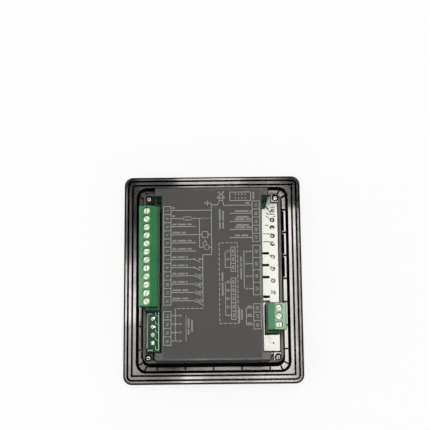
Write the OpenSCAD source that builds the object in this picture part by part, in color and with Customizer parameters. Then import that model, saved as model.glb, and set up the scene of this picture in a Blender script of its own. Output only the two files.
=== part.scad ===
// Panel-mounted generating-set controller, lying on its front with its back up.
// Lengths are in millimetres: X runs across, Y along the longer side, Z out of the back.

/* [Bezel] */
// Width of the bezel
bezel_w = 114.5; // [103:0.5:126]
// Height of the bezel
bezel_h = 134; // [121:0.5:147]
// From the front rim to the panel seat
bezel_t = 13; // [12.5:0.25:15]
// Corner radius of the outline
bezel_r = 5.5; // [4.5:0.25:8]
// Rounding of the front edge
front_round = 1.6; // [0.8:0.1:2.4]
// Rounding of the back edge
back_round = 1.1; // [0.4:0.1:1.4]

/* [Flange] */
// Width of the outer lip
lip_w = 2.25; // [1.6:0.05:2.6]
// Width of each groove at its mouth
groove_w = 1.1; // [0.8:0.05:1.3]
// Depth of each groove
groove_d = 6; // [3:0.5:8]
// Width of the rail between the grooves
rail_w = 1.7; // [1.4:0.1:2.1]
// Width of the inner rail along the sides
side_rail_w = 1.9; // [1.6:0.1:2.4]
// Width of the inner rail along the ends
end_rail_w = 1; // [0.8:0.1:1.6]
// Width of the slope from the inner rail into the gutter
gutter_slope = 1.6; // [1:0.1:1.8]
// Width of the gutter floor
gutter_w = 2.1; // [1.8:0.1:2.6]
// Depth of the gutter
gutter_d = 3; // [2:0.25:4]
// Thickness of the ribs across the gutter
rib_t = 0.8; // [0.6:0.1:1.2]
// Height of the ribs above the gutter floor
rib_h = 1.6; // [1:0.1:1.9]
// Spacing of the ribs along the sides
side_rib_pitch = 15; // [12:0.5:16]
// Spacing of the ribs along the ends
end_rib_pitch = 17.9; // [14:0.5:18.5]

/* [Front] */
// Width of the front rim round the film
rim_w = 5; // [4.5:0.25:6]
// Depth of the film's front below the rim
film_below = 0.8; // [0.6:0.1:1.2]
// Thickness of the film
film_t = 0.4; // [0.3:0.05:0.6]
// Thickness of the front panel
panel_t = 2.6; // [2.4:0.1:3.2]
// Margin of the film beside the display opening
view_side = 20.25; // [19:0.25:24]
// Height of the display opening
view_h = 36; // [30:1:38]
// Height of the display's centre above the middle of the front
view_y = 20; // [18:0.5:22]
// Thickness of the display pane
pane_t = 1.2; // [0.8:0.1:1.5]
// Margin of the pane round the opening
pane_margin = 2; // [1.5:0.25:3]

/* [Keys] */
// Diameter of the large keys
key_d = 13; // [10:0.5:14]
// Diameter of the small keys
small_key_d = 10; // [8:0.5:11]
// From the cavity's side to the middle of a row's outer key
key_side = 10.45; // [9.5:0.05:12]
// Place of the large keys below the middle of the front
key_row_y = -34; // [-36:0.5:-33]
// Place of the small keys below the middle of the front
small_row_y = -14; // [-15:0.5:-13]
// Travel of a key
key_travel = 0.8; // [0.5:0.1:1]
// Gap round a moving piece
run_gap = 0.35; // [0.3:0.05:0.45]
// Width of a key's holding flange
key_flange_w = 1.2; // [0.8:0.1:1.5]
// Thickness of a key's holding flange
key_flange_t = 0.6; // [0.5:0.1:0.8]
// Diameter of a status lamp
lamp_d = 3; // [2:0.5:4]

/* [Housing] */
// Height of the housing wall's top
wall_top = 22.6; // [21.6:0.1:23.6]
// Wall thickness of the housing
wall = 1.65; // [1.4:0.05:2]
// Slope of the side walls over their height
side_draft = 1.75; // [0.8:0.05:2]
// Slope of the end walls over their height
end_draft = 2.3; // [0.8:0.05:2.5]
// Corner radius at the housing's foot
foot_r = 5.5; // [4.5:0.25:6.5]
// Corner radius at the housing wall's top
top_r = 4.6; // [4:0.1:5.5]
// Height of the deck
deck_top = 42; // [38:0.25:46]
// Width of a terminal bay, from the wall's outer top edge to the deck
bay_w = 12.85; // [12.4:0.05:14]
// Ledge in front of the deck's end wall
deck_ledge = 0.75; // [0.6:0.05:1.4]
// Reach of an ear beyond the deck
ear_out = 4.1; // [2.5:0.1:4.4]
// Length of an ear
ear_h = 5.2; // [4:0.1:5.5]
// Wall thickness of the deck
deck_wall = 1.8; // [1.5:0.1:2.2]
// Chamfer round the top of the deck
deck_edge = 0.4; // [0.3:0.1:0.9]
// Place of a corner boss in from the wall's outer top edge
boss_in = 3.2; // [3:0.1:3.4]
// Side of a corner boss
boss_s = 5.8; // [5.4:0.1:6.2]
// Depth of a boss's top below the wall's top
boss_below = 0.4; // [0:0.1:0.8]
// Depth of the screw head's recess
recess_d = 2.4; // [2.2:0.1:2.8]
// Length of a fixing clip's slot
clip_slot_l = 9; // [6:0.5:10]
// Height of a fixing clip's slot
clip_slot_h = 2.6; // [2:0.1:3]
// Place of the clip slots from the middle
clip_slot_y = 31; // [28:0.5:33]

/* [Boards] */
// Height of the main board's upper face
board_top = 19.8; // [19.6:0.05:20.2]
// Thickness of each board
board_t = 1.6; // [1.2:0.1:1.7]
// Gap between the main board and the walls
board_gap = 0.4; // [0.3:0.05:0.6]
// Gap between the main board and the deck's lower edge
deck_gap = 0.8; // [0.5:0.05:1]
// Front of the display board behind the front panel
display_board_gap = 3.6; // [3.4:0.1:3.8]
// Diameter of a bare solder pad
pad_d = 2.6; // [2.2:0.1:3]
// Diameter of the hole in a bare pad
pad_hole_d = 1.4; // [1.1:0.1:1.6]
// Thickness of a bare pad
pad_t = 0.06; // [0.04:0.01:0.1]
// Length of an isolation slot
slot_l = 8; // [6:0.5:8.5]
// Place of an isolation slot above a wide pad
slot_up = 2; // [1.8:0.1:2.4]
// Spacing of the two isolation slots below the last wide pad
slot_step = 2.9; // [2.6:0.1:3.2]
// Width of an isolation slot
slot_w = 1.3; // [0.8:0.1:1.5]

/* [Terminals] */
// Spacing of the poles
pole_pitch = 5.08; // [5:0.02:5.08]
// Poles of the left plug
left_poles = 12; // [10:1:12]
// Poles of the right plug
right_poles = 3; // [2:1:3]
// Bare positions in the upper right row
upper_positions = 5; // [3:1:5]
// Spacing of the wide bare positions
wide_pitch = 7.62; // [7.5:0.02:8]
// Gap between the upper ear and the left header, and from that header to the first bare pad
left_gap = 4.6; // [4:0.1:5]
// Gap between the lower ear and the right header
right_gap = 11.7; // [10.5:0.1:12]
// From the upper ear to the first bare pad on the right
upper_gap = 6; // [5:0.25:7]
// From the last narrow bare pad to the first wide one
wide_gap = 8.6; // [8:0.1:9]
// Place of the headers in from the wall's outer top edge
terminal_in = 6.55; // [6.4:0.05:6.7]
// Width of a header
header_w = 8.8; // [8.6:0.1:9]
// Height of a plug above its header
plug_h = 10.85; // [10.4:0.05:12]
// Wall thickness of a header
header_wall = 1; // [0.8:0.05:1.1]
// Thickness of a header's floor
header_floor = 2.2; // [1.8:0.1:2.6]
// Length of a header beyond its poles
header_over = 3.6; // [3.2:0.1:4.4]
// Length of a plug beyond its poles
plug_over = 0.7; // [0.4:0.05:0.9]
// Top of the plugs above the deck
plug_above = 1.2; // [0.5:0.1:2]
// Reach of a plug outwards from its header's middle
plug_out = 7.5; // [7.2:0.1:8]
// Reach of a plug inwards from its header's middle
plug_in = 3.6; // [3.5:0.1:3.8]
// Place of the ridge where a plug's top turns down
plug_ridge = 0.5; // [0.3:0.05:0.7]
// Drop of the slope on a plug's top
plug_drop = 2.75; // [2:0.25:4]
// Place of the clamp screws from the header's middle
clamp_u = 3; // [2.8:0.1:3.1]
// Diameter of a clamp screw's head
clamp_screw_d = 3.5; // [3.2:0.1:3.7]
// Diameter of a wire entry
wire_d = 3.6; // [3:0.1:3.8]
// Side of a contact pin
pin_s = 1; // [0.8:0.1:1]
// Place of the pins from the header's middle
pin_u = 0.4; // [0:0.1:0.5]

/* [Hidden] */

// Small overlap for cuts, thickness of the slabs that a hull joins, and segments of a hull's corners
cut = 1;
skin = 0.02;
hull_fn = 32;
round_steps = 4;

// Fits: round a screw's shank in its post, round a screw in a board's hole, and round a wire in its clamp
thread_fit = 0.1;
hole_fit = 0.2;
wire_fit = 0.4;

// Flange: insets from the bezel's outline, and the narrow floor that the grooves taper to
function inset(d) = bezel - 2 * [d, d];
groove_floor = 0.1;
groove_taper = (groove_w - groove_floor) / 2;
rail_in = lip_w + groove_w;
groove_b_in = rail_in + rail_w;
inner_rail_in = groove_b_in + groove_w;
mouth_in = [inner_rail_in + side_rail_w, inner_rail_in + end_rail_w];
gutter_in = mouth_in + [gutter_slope, gutter_slope];
foot_in = gutter_in + [gutter_w, gutter_w];
bezel = [bezel_w, bezel_h];
gutter_z = bezel_t - gutter_d;
gutter_r = 5;
rib_turn = 18;
rib_clear = 0.12;

// Front: the film lies on the panel, inside the rim
panel_z = film_below + film_t;
panel_back = panel_z + panel_t;
film = bezel - 2 * [rim_w, rim_w];
film_r = 3.5;
film_fit = 0.2;
view = [film[0] - 2 * view_side, view_h];
pane = view + 2 * [pane_margin, pane_margin];
pane_fit = 0.1;

// Housing: outline at its foot, at the wall's top and inside both
foot = bezel - 2 * foot_in;
crown = foot - 2 * [side_draft, end_draft];
foot_inner = foot - 2 * [wall, wall];
crown_inner = crown - 2 * [wall, wall];
cavity_step = 0.4;
cavity = foot_inner - 2 * [cavity_step, cavity_step];
cavity_r = foot_r - wall - cavity_step;
boss = crown / 2 - [boss_in, boss_in];
boss_top = wall_top - boss_below;
post_top = 12;
post_d = 6;
deck = crown - 2 * [bay_w, deck_ledge];
ear = [deck[0] + 2 * ear_out, ear_h];
ear_edge = deck[1] / 2 - ear_h;
deck_foot = board_top + deck_gap;
pillar_in = [8.9, 10.8];
pillar = deck / 2 - pillar_in;
pillar_d = 7;
clip_slot_up = 1;

// Screws: shank and head of the case, display and main board screws
case_shank_d = 1.9;
case_head_d = 3;
case_head_h = 1.2;
case_head_round = 0.5;
case_hole_d = 2.2;
case_recess_d = 4;
case_recess_edge = 0.3;
case_cross = [1.7, 0.45];
post_floor = 1;
tip_gap = 1;
small_shank_d = 1.95;
small_hole_d = 2;
small_head_d = 4;
small_head_h = 1.4;
display_post_d = 5.4;
board_shank_d = 2.5;
board_hole_d = 2.6;
board_head_d = 5;
board_head_h = 1.6;
board_screw_depth = 7;

// Keys: places, working from the right-hand side of this view
key_pitch = (cavity[0] / 2 - key_side) * 2 / 3;
large_keys = [for (i = [1.5, 0.5, -0.5, -1.5]) [i * key_pitch, key_row_y]];
small_keys = [for (i = [-0.5, -1.5]) [i * key_pitch, small_row_y]];
lamps = [for (i = [0.5, 1, 1.5]) [i * key_pitch, small_row_y]];
key_face = film_below / 2;
key_chamfer = 0.4;
flange_z = panel_back + run_gap;
display_front = panel_back + display_board_gap;
switch_s = 6;
switch_top = flange_z + key_flange_t + key_travel + run_gap;
switch_step = 0.4;
button_d = 3.4;
lamp_hole_gap = 0.2;

// Display: a metal frame holds the glass on its back light
lcd_border = 3;
lcd = pane + 2 * [lcd_border, lcd_border];
lcd_lip = 0.4;
lcd_skin = 0.7;
lcd_overlap = 1;
glass_t = 1.8;
display_post_x = (lcd[0] + display_post_d) / 2 + run_gap;
display_board_clear = 1.3;
display_board_h = 2 * (boss[1] - post_d / 2 - display_board_clear);
upper_post_in = 10.5;
lower_post_in = 2.5;
upper_post_y = display_board_h / 2 - upper_post_in;
lower_post_y = lower_post_in - display_board_h / 2;
display_posts = [for (x = [-1, 1])
    each [[x * display_post_x, upper_post_y], [x * key_pitch, lower_post_y]]];
display_board_size = [2 * display_post_x + small_head_d, display_board_h];
display_board_r = 2;

// Main board: cut away at the corner bosses, and as far as the deck's sides at its lower end
board = crown_inner - 2 * [board_gap, board_gap];
board_under = board_top - board_t;
boss_clear = board / 2 - boss + [boss_s, boss_s] / 2;
notch = boss_clear + [board_gap, board_gap];
foot_gap = 1.05;
foot_notch = [(board[0] - deck[0]) / 2, boss_clear[1] + foot_gap];
pin_hole_d = 1.5 * pin_s;

// Headers: the left one hangs from the upper ear, the right one stands on the lower ear
function header_l(poles) = poles * pole_pitch + header_over;
terminal_x = crown[0] / 2 - terminal_in;
left_y = ear_edge - left_gap - header_l(left_poles) / 2;
right_y = -ear_edge + right_gap + header_l(right_poles) / 2;

// Bare positions: as many as fit in a row between its two ends
function row(x, first, last, pitch) = [for (i = [0 : floor((first - last) / pitch)])
    [x, first - i * pitch]];
pad_x = terminal_x + pin_u;
left_first = left_y - header_l(left_poles) / 2 - left_gap;
upper_first = ear_edge - upper_gap;
upper_last = upper_first - (upper_positions - 1) * pole_pitch;
wide_end = right_y + header_l(right_poles) / 2 + 2 * pad_d;
left_pads = row(-pad_x, left_first, -ear_edge + left_gap, pole_pitch);
upper_pads = row(pad_x, upper_first, upper_last - pole_pitch / 2, pole_pitch);
wide_pads = row(pad_x, upper_last - wide_gap, wide_end, wide_pitch);
bare_pads = concat(left_pads, upper_pads, wide_pads);

// Isolation slots: one above each wide pad but the last, and two below the last
wide_last = len(wide_pads) - 1;
slots = concat([for (i = [0 : 1 : wide_last - 1]) wide_pads[i][1] + slot_up],
    [for (i = [1, 2]) wide_pads[wide_last][1] - i * slot_step]);
slot_out = 5.1;
slot_end = deck[0] / 2 + slot_out;

// Terminals: heights, worked down from the top of the plugs
plug_top = deck_top + plug_above;
plug_z = plug_top - plug_h;
header_top = plug_z - run_gap;
header_h = header_top - board_top;
header_inside = header_w - 2 * header_wall;
tongue_w = header_inside - 2 * run_gap;
tongue_z = board_top + header_floor + run_gap;
plug_edge = 0.4;
pole_groove = 0.5;
pin_short = 2;
pin_top = header_top - pin_short;
pin_tail = 2;
socket_s = pin_s + 2 * run_gap;
socket_top = pin_top + 2 * run_gap;
clamp = [4, 3.9];
clamp_fit = 0.05;
clamp_floor = 2.4;
clamp_below = 3;
wire_drop = 0.4;
clamp_z = socket_top + clamp_floor;
clamp_top = plug_top - clamp_below;
wire_z = (clamp_z + clamp_top) / 2 - wire_drop;
clamp_screw_sink = 1.2;
clamp_shank_d = 2.4;
clamp_slot_w = 0.6;
clamp_slot_d = 0.8;
clamp_turn = 52;
access_gap = 0.35;

// Parts on the main board, with places across taken from the deck's sides
relay = [10, 16, 15];
relay_in = 13.9;
relay_pitch = 18;
relay_clear = 1.5;
relay_first = pillar[1] - pillar_d / 2 - relay_clear - relay[1] / 2;
capacitor_in = 14.9;
small_capacitor_in = 10.9;
capacitor = [10, 16];
small_capacitor = [8, 12];
capacitor_y = [30, 17, 5];
chip_place = [-2, -12];
chip_s = 14;
chip_t = 1.6;
coil_in = 10.9;
coil_y = -24;
coil_d = 12;
coil_h = 8;
link_y = -8;
link_poles = 12;
link_pitch = 2.54;
link_pin_s = 0.64;
link_w = 5;
link_h = 2.7;
link_end = 0.5;
link_l = link_poles * link_pitch + 2 * link_end;
link_tip_gap = 0.6;
socket_wall = 0.9;
socket_h = 5;

// Flat block, centred on X and Y
module block(size, t) {
    translate([-size[0] / 2, -size[1] / 2, 0]) cube([size[0], size[1], t]);
}

// Flat block with rounded corners, centred on X and Y
module round_block(size, t, r) {
    block([size[0] - 2 * r, size[1]], t);
    block([size[0], size[1] - 2 * r], t);
    for (x = [-1, 1], y = [-1, 1])
        translate([x * (size[0] / 2 - r), y * (size[1] / 2 - r), 0]) cylinder(r = r, h = t);
}

// Sloping block between two rounded outlines
module loft(size0, r0, z0, size1, r1, z1) {
    hull() {
        translate([0, 0, z0]) round_block(size0, skin, r0, $fn = hull_fn);
        translate([0, 0, z1 - skin]) round_block(size1, skin, r1, $fn = hull_fn);
    }
}

// Sloping block between two square outlines
module square_loft(size0, z0, size1, z1) {
    hull() {
        translate([0, 0, z0]) block(size0, skin);
        translate([0, 0, z1 - skin]) block(size1, skin);
    }
}

// Children at all four corners of a rectangle
module at_corners(half) {
    for (x = [-1, 1], y = [-1, 1])
        translate([x * half[0], y * half[1], 0]) children();
}

// Children at each place of a list
module at_places(places) {
    for (p = places)
        translate([p[0], p[1], 0]) children();
}

// Upright cylinder from one height to another
module post(d, z0, z1) {
    translate([0, 0, z0]) cylinder(d = d, h = z1 - z0);
}

// Quarter turn of an edge rounding, from one angle to another
function edge_arc(at, r, from, to) = [for (i = [0 : round_steps])
    at + r * [cos(from + (to - from) * i / round_steps), sin(from + (to - from) * i / round_steps)]];

// Outer form of the bezel: turned corners with both edges rounded, joined into one block
module bezel_form() {
    front_arc = edge_arc([bezel_r - front_round, front_round], front_round, -90, 0);
    back_arc = edge_arc([bezel_r - back_round, bezel_t - back_round], back_round, 0, 90);
    hull()
        at_corners(bezel / 2 - [bezel_r, bezel_r])
            rotate_extrude($fn = hull_fn) polygon(concat([[0, 0]], front_arc, back_arc, [[0, bezel_t]]));
}

// Tapered grooves: a rounded one inside the lip and a square one inside the rail
module grooves() {
    z0 = bezel_t - groove_d;
    difference() {
        loft(inset(lip_w + groove_taper), bezel_r - lip_w - groove_taper, z0, inset(lip_w),
            bezel_r - lip_w, bezel_t + skin);
        loft(inset(rail_in - groove_taper), bezel_r - rail_in + groove_taper, z0 - skin, inset(rail_in),
            bezel_r - rail_in, bezel_t + 2 * skin);
    }
    difference() {
        square_loft(inset(groove_b_in + groove_taper), z0, inset(groove_b_in), bezel_t + skin);
        square_loft(inset(inner_rail_in - groove_taper), z0 - skin, inset(inner_rail_in),
            bezel_t + 2 * skin);
    }
}

// Gutter round the housing's foot, with its sloping mouth
module gutter() {
    translate([0, 0, gutter_z]) round_block(bezel - 2 * gutter_in, gutter_d + cut, gutter_r);
    loft(bezel - 2 * gutter_in, gutter_r, bezel_t - gutter_slope, bezel - 2 * mouth_in,
        gutter_r + gutter_slope, bezel_t + skin);
}

// One rib across the gutter, pointing along X from the housing's foot
module gutter_rib(reach) {
    translate([rib_clear, -rib_t / 2, gutter_z - skin]) cube([reach, rib_t, rib_h + skin]);
}

// Ribs along the sides and ends, and two at each corner
module gutter_ribs() {
    reach = gutter_w + gutter_slope / 2;
    for (s = [0, 180])
        rotate(s) {
            for (i = [-3 : 3])
                translate([foot[0] / 2, i * side_rib_pitch, 0]) gutter_rib(reach);
            for (i = [-2 : 2])
                translate([i * end_rib_pitch, foot[1] / 2, 0]) rotate(90) gutter_rib(reach);
        }
    for (x = [-1, 1], y = [-1, 1], turn = [-rib_turn, rib_turn])
        translate([x * (foot[0] / 2 - foot_r), y * (foot[1] / 2 - foot_r), 0])
            rotate(atan2(y, x) + turn * x * y) translate([foot_r, 0, 0]) gutter_rib(reach);
}

// Openings for the display, keys and lamps in a flat piece
module front_openings(gap, z0, z1) {
    translate([0, view_y, z0]) block(view, z1 - z0);
    at_places(large_keys) post(key_d + 2 * gap, z0, z1);
    at_places(small_keys) post(small_key_d + 2 * gap, z0, z1);
}

module front_frame() {
    color([0.03, 0.03, 0.035]) {
        difference() {
            bezel_form();
            grooves();
            gutter();
            translate([0, 0, -cut]) round_block(film, panel_z + cut, film_r);
            translate([0, 0, panel_back]) round_block(cavity, bezel_t, cavity_r);
            front_openings(run_gap, -cut, panel_back + cut);
            translate([0, view_y, 0]) block(pane, panel_z + pane_t);
            at_places(lamps) post(lamp_d + 2 * lamp_hole_gap, 0, panel_back + cut);
        }
        gutter_ribs();
        difference() {
            at_corners(boss) post(post_d, panel_back - skin, post_top);
            at_corners(boss) post(case_shank_d + thread_fit, panel_back + post_floor, post_top + cut);
        }
        difference() {
            at_places(display_posts) post(display_post_d, panel_back - skin, display_front);
            at_places(display_posts) post(small_hole_d, panel_back + post_floor / 2, display_front + cut);
        }
    }
}

// Deck piece with a chamfered top
module deck_block(size) {
    translate([0, 0, deck_foot]) block(size, deck_top - deck_edge - deck_foot);
    square_loft(size, deck_top - deck_edge - skin, size - 2 * [deck_edge, deck_edge], deck_top);
}

// Sloping wall with the corner bosses left standing inside it
module housing_shell() {
    difference() {
        loft(foot, foot_r, gutter_z, crown, top_r, wall_top);
        difference() {
            loft(foot_inner, foot_r - wall, gutter_z - skin, crown_inner, top_r - wall, wall_top + skin);
            at_corners(boss) translate([0, 0, post_top]) block([boss_s, boss_s], boss_top - post_top);
        }
    }
}

// Chamfer at the mouth of a screw head's recess
module recess_mouth() {
    translate([0, 0, boss_top - case_recess_edge])
        cylinder(d1 = case_recess_d, d2 = case_recess_d + 4 * case_recess_edge, h = 2 * case_recess_edge);
}

module rear_housing() {
    color([0.06, 0.06, 0.065]) {
        difference() {
            union() {
                housing_shell();
                deck_block(deck);
                for (y = [-1, 1])
                    translate([0, y * (deck[1] - ear_h) / 2, 0]) deck_block(ear);
            }
            translate([0, 0, deck_foot - cut])
                block(deck - 2 * [deck_wall, deck_wall], deck_top - deck_wall - deck_foot + cut);
            at_corners(boss) post(case_hole_d, post_top - cut, wall_top);
            at_corners(boss) post(case_recess_d, boss_top - recess_d, wall_top + cut);
            at_corners(boss) recess_mouth();
            for (y = [-1, 1])
                translate([0, y * clip_slot_y, bezel_t + clip_slot_up])
                    block([bezel_w, clip_slot_l], clip_slot_h);
        }
        difference() {
            at_corners(pillar) post(pillar_d, board_top, deck_top - deck_wall + skin);
            at_corners(pillar) post(board_hole_d, board_top - cut, board_top + board_screw_depth + tip_gap);
        }
    }
}

// Pan head of a case screw
module case_head() {
    r = case_head_d / 2;
    edge = edge_arc([r - case_head_round, case_head_h - case_head_round], case_head_round, 0, 90);
    rotate_extrude() polygon(concat([[0, 0], [r, 0]], edge, [[0, case_head_h]]));
}

module case_screws() {
    head_z = boss_top - recess_d;
    color([0.7, 0.7, 0.68])
        at_corners(boss)
            difference() {
                union() {
                    post(case_shank_d, panel_back + post_floor + tip_gap, head_z);
                    translate([0, 0, head_z]) case_head();
                }
                for (a = [0, 90])
                    translate([0, 0, head_z + case_head_h / 2])
                        rotate(a) block(case_cross, case_head_h);
            }
}

module front_film() {
    color([0.2, 0.22, 0.25])
        difference() {
            translate([0, 0, film_below])
                round_block(film - 2 * [film_fit, film_fit], film_t, film_r - film_fit);
            front_openings(run_gap, 0, panel_z + cut);
        }
}

module display_window() {
    color([0.75, 0.8, 0.8, 0.4])
        translate([0, view_y, panel_z]) block(pane - 2 * [pane_fit, pane_fit], pane_t);
}

module lcd_frame() {
    color([0.65, 0.66, 0.67])
        translate([0, view_y, panel_back])
            difference() {
                block(lcd, display_board_gap);
                translate([0, 0, lcd_lip]) block(lcd - 2 * [lcd_skin, lcd_skin], display_board_gap);
                translate([0, 0, -cut]) block(view + 2 * [lcd_overlap, lcd_overlap], 2 * cut);
            }
}

module lcd_glass() {
    color([0.55, 0.65, 0.5])
        translate([0, view_y, panel_back + lcd_lip]) block(lcd - 2 * [lcd_skin, lcd_skin], glass_t);
}

module lcd_backlight() {
    color([0.9, 0.9, 0.88])
        translate([0, view_y, panel_back + lcd_lip + glass_t])
            block(lcd - 2 * [lcd_skin, lcd_skin], display_board_gap - lcd_lip - glass_t);
}

module display_board() {
    color([0.02, 0.28, 0.12])
        difference() {
            translate([0, 0, display_front]) round_block(display_board_size, board_t, display_board_r);
            at_places(display_posts)
                post(small_hole_d + hole_fit, display_front - cut, display_front + board_t + cut);
        }
}

module display_screws() {
    color([0.7, 0.7, 0.68])
        at_places(display_posts) {
            post(small_shank_d, panel_back + post_floor, display_front + board_t);
            post(small_head_d, display_front + board_t, display_front + board_t + small_head_h);
        }
}

module key_switches() {
    color([0.08, 0.08, 0.08])
        at_places(concat(large_keys, small_keys)) {
            translate([0, 0, switch_top + switch_step])
                block([switch_s, switch_s], display_front - switch_top - switch_step);
            post(button_d, switch_top, switch_top + switch_step);
        }
}

// Round key with a flange behind the panel
module key_cap(place, d, tint) {
    r = d / 2;
    color(tint)
        translate([place[0], place[1], 0])
            rotate_extrude()
                polygon([[0, key_face], [r - key_chamfer, key_face], [r, key_face + key_chamfer],
                    [r, flange_z], [r + key_flange_w, flange_z],
                    [r + key_flange_w, flange_z + key_flange_t], [0, flange_z + key_flange_t]]);
}

module key_stop() {
    key_cap(large_keys[0], key_d, [0.7, 0.05, 0.04]);
}

module key_manual() {
    key_cap(large_keys[1], key_d, [0.5, 0.5, 0.52]);
}

module key_auto() {
    key_cap(large_keys[2], key_d, [0.5, 0.5, 0.52]);
}

module key_start() {
    key_cap(large_keys[3], key_d, [0.05, 0.45, 0.12]);
}

module key_up() {
    key_cap(small_keys[0], small_key_d, [0.5, 0.5, 0.52]);
}

module key_down() {
    key_cap(small_keys[1], small_key_d, [0.5, 0.5, 0.52]);
}

module status_lamps() {
    color([0.8, 0.25, 0.1])
        at_places(lamps) post(lamp_d, panel_z, display_front);
}

// Holes in the main board for a header's pins
module pin_holes(poles) {
    at_poles(poles) post(pin_hole_d, board_under - cut, board_top + cut);
}

module main_board() {
    color([0.02, 0.28, 0.12])
        difference() {
            translate([0, 0, board_under]) block(board, board_t);
            for (x = [-1, 1])
                translate([x * board[0] / 2, 0, board_under - cut]) {
                    translate([0, board[1] / 2, 0]) block(2 * notch, board_t + 2 * cut);
                    translate([0, -board[1] / 2, 0]) block(2 * foot_notch, board_t + 2 * cut);
                }
            at_places(bare_pads) post(pad_hole_d, board_under - cut, board_top + cut);
            at_corners(pillar) post(board_hole_d + hole_fit, board_under - cut, board_top + cut);
            for (y = slots)
                translate([slot_end - slot_l, y - slot_w / 2, board_under - cut])
                    cube([slot_l, slot_w, board_t + 2 * cut]);
            at_terminal(-1, left_y) pin_holes(left_poles);
            at_terminal(1, right_y) pin_holes(right_poles);
        }
}

module board_screws() {
    color([0.7, 0.7, 0.68])
        at_corners(pillar) {
            post(board_head_d, board_under - board_head_h, board_under);
            post(board_shank_d, board_under, board_top + board_screw_depth);
        }
}

module board_pads() {
    color([0.8, 0.8, 0.76])
        at_places(bare_pads)
            difference() {
                post(pad_d, board_top, board_top + pad_t);
                post(pad_hole_d, board_top - cut, board_top + cut);
            }
}

// Children at a header's middle, with X turned outwards
module at_terminal(side, y) {
    translate([side * terminal_x, y, 0]) rotate(side > 0 ? 0 : 180) children();
}

// Children at each pole, on the line of the pins
module at_poles(poles) {
    for (i = [0 : poles - 1])
        translate([pin_u, (i - (poles - 1) / 2) * pole_pitch, 0]) children();
}

// Open shroud with a floor that holds the pins
module header(poles) {
    inside_l = poles * pole_pitch + plug_over + 2 * run_gap;
    color([0.03, 0.3, 0.14])
        difference() {
            translate([0, 0, board_top]) block([header_w, header_l(poles)], header_h);
            translate([0, 0, board_top + header_floor]) block([header_inside, inside_l], header_h);
            at_poles(poles) translate([0, 0, board_top - cut]) block([pin_s, pin_s], header_h);
        }
}

// Square contact pins through the header's floor and the board
module pins(poles) {
    color([0.8, 0.78, 0.72])
        at_poles(poles)
            translate([0, 0, board_under - pin_tail])
                block([pin_s, pin_s], pin_top - board_under + pin_tail);
}

// Outline of a plug across its length: tongue, overhang, flat top and inner slope
module plug_outline() {
    polygon([[-tongue_w / 2, tongue_z], [tongue_w / 2, tongue_z], [tongue_w / 2, plug_z],
        [plug_out, plug_z], [plug_out, plug_top - plug_edge], [plug_out - plug_edge, plug_top],
        [plug_ridge, plug_top], [-plug_in, plug_top - plug_drop], [-plug_in, plug_z],
        [-tongue_w / 2, plug_z]]);
}

// Cuts for one pole of a plug: pin socket, clamp pocket, wire entry and screw hole
module pole_cuts() {
    translate([0, 0, tongue_z - cut]) block([socket_s, socket_s], socket_top - tongue_z + cut);
    translate([clamp_u - pin_u, 0, 0]) {
        translate([0, 0, clamp_z]) block(clamp + 2 * [clamp_fit, clamp_fit], clamp_top - clamp_z);
        post(clamp_screw_d + 2 * access_gap, clamp_top - skin, plug_top + cut);
        translate([0, 0, wire_z]) rotate([0, 90, 0]) cylinder(d = wire_d, h = plug_out);
    }
}

// Pluggable terminal block with its wires leaving outwards
module plug(poles) {
    color([0.1, 0.5, 0.25])
        difference() {
            rotate([90, 0, 0])
                linear_extrude(height = poles * pole_pitch + plug_over, center = true) plug_outline();
            at_poles(poles) pole_cuts();
            for (i = [1 : poles - 1])
                translate([plug_out, (i - poles / 2) * pole_pitch, plug_z - cut])
                    block([pole_groove, pole_groove], plug_h + 2 * cut);
        }
}

// Metal cages that grip the wires
module clamps(poles) {
    color([0.75, 0.74, 0.7])
        at_poles(poles) translate([clamp_u - pin_u, 0, 0])
            difference() {
                translate([0, 0, clamp_z]) block(clamp, clamp_top - clamp_z);
                translate([-plug_out / 2, 0, wire_z])
                    rotate([0, 90, 0]) cylinder(d = wire_d - wire_fit, h = plug_out);
                post(clamp_shank_d + thread_fit, wire_z, plug_top);
            }
}

// Slotted screws that close the cages, each left at its own turn
module clamp_screws(poles) {
    color([0.8, 0.8, 0.77])
        for (i = [0 : poles - 1])
            translate([clamp_u, (i - (poles - 1) / 2) * pole_pitch, 0])
                difference() {
                    union() {
                        post(clamp_shank_d, wire_z + wire_d / 4, clamp_top);
                        post(clamp_screw_d, clamp_top, plug_top - clamp_screw_sink);
                    }
                    translate([0, 0, plug_top - clamp_screw_sink - clamp_slot_d])
                        rotate(i * clamp_turn)
                            block([clamp_slot_w, clamp_screw_d + cut], clamp_slot_d + cut);
                }
}

module header_left() {
    at_terminal(-1, left_y) header(left_poles);
}

module pins_left() {
    at_terminal(-1, left_y) pins(left_poles);
}

module plug_left() {
    at_terminal(-1, left_y) plug(left_poles);
}

module clamps_left() {
    at_terminal(-1, left_y) clamps(left_poles);
}

module clamp_screws_left() {
    at_terminal(-1, left_y) clamp_screws(left_poles);
}

module header_right() {
    at_terminal(1, right_y) header(right_poles);
}

module pins_right() {
    at_terminal(1, right_y) pins(right_poles);
}

module plug_right() {
    at_terminal(1, right_y) plug(right_poles);
}

module clamps_right() {
    at_terminal(1, right_y) clamps(right_poles);
}

module clamp_screws_right() {
    at_terminal(1, right_y) clamp_screws(right_poles);
}

module relays() {
    color([0.9, 0.5, 0.1])
        at_places(row(deck[0] / 2 - relay_in, relay_first, -relay_first, relay_pitch))
            translate([0, 0, board_top]) block([relay[0], relay[1]], relay[2]);
}

module capacitors() {
    color([0.1, 0.1, 0.14]) {
        for (i = [0, 1])
            translate([capacitor_in - deck[0] / 2, capacitor_y[i], 0])
                post(capacitor[0], board_top, board_top + capacitor[1]);
        translate([small_capacitor_in - deck[0] / 2, capacitor_y[2], 0])
            post(small_capacitor[0], board_top, board_top + small_capacitor[1]);
    }
}

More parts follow.
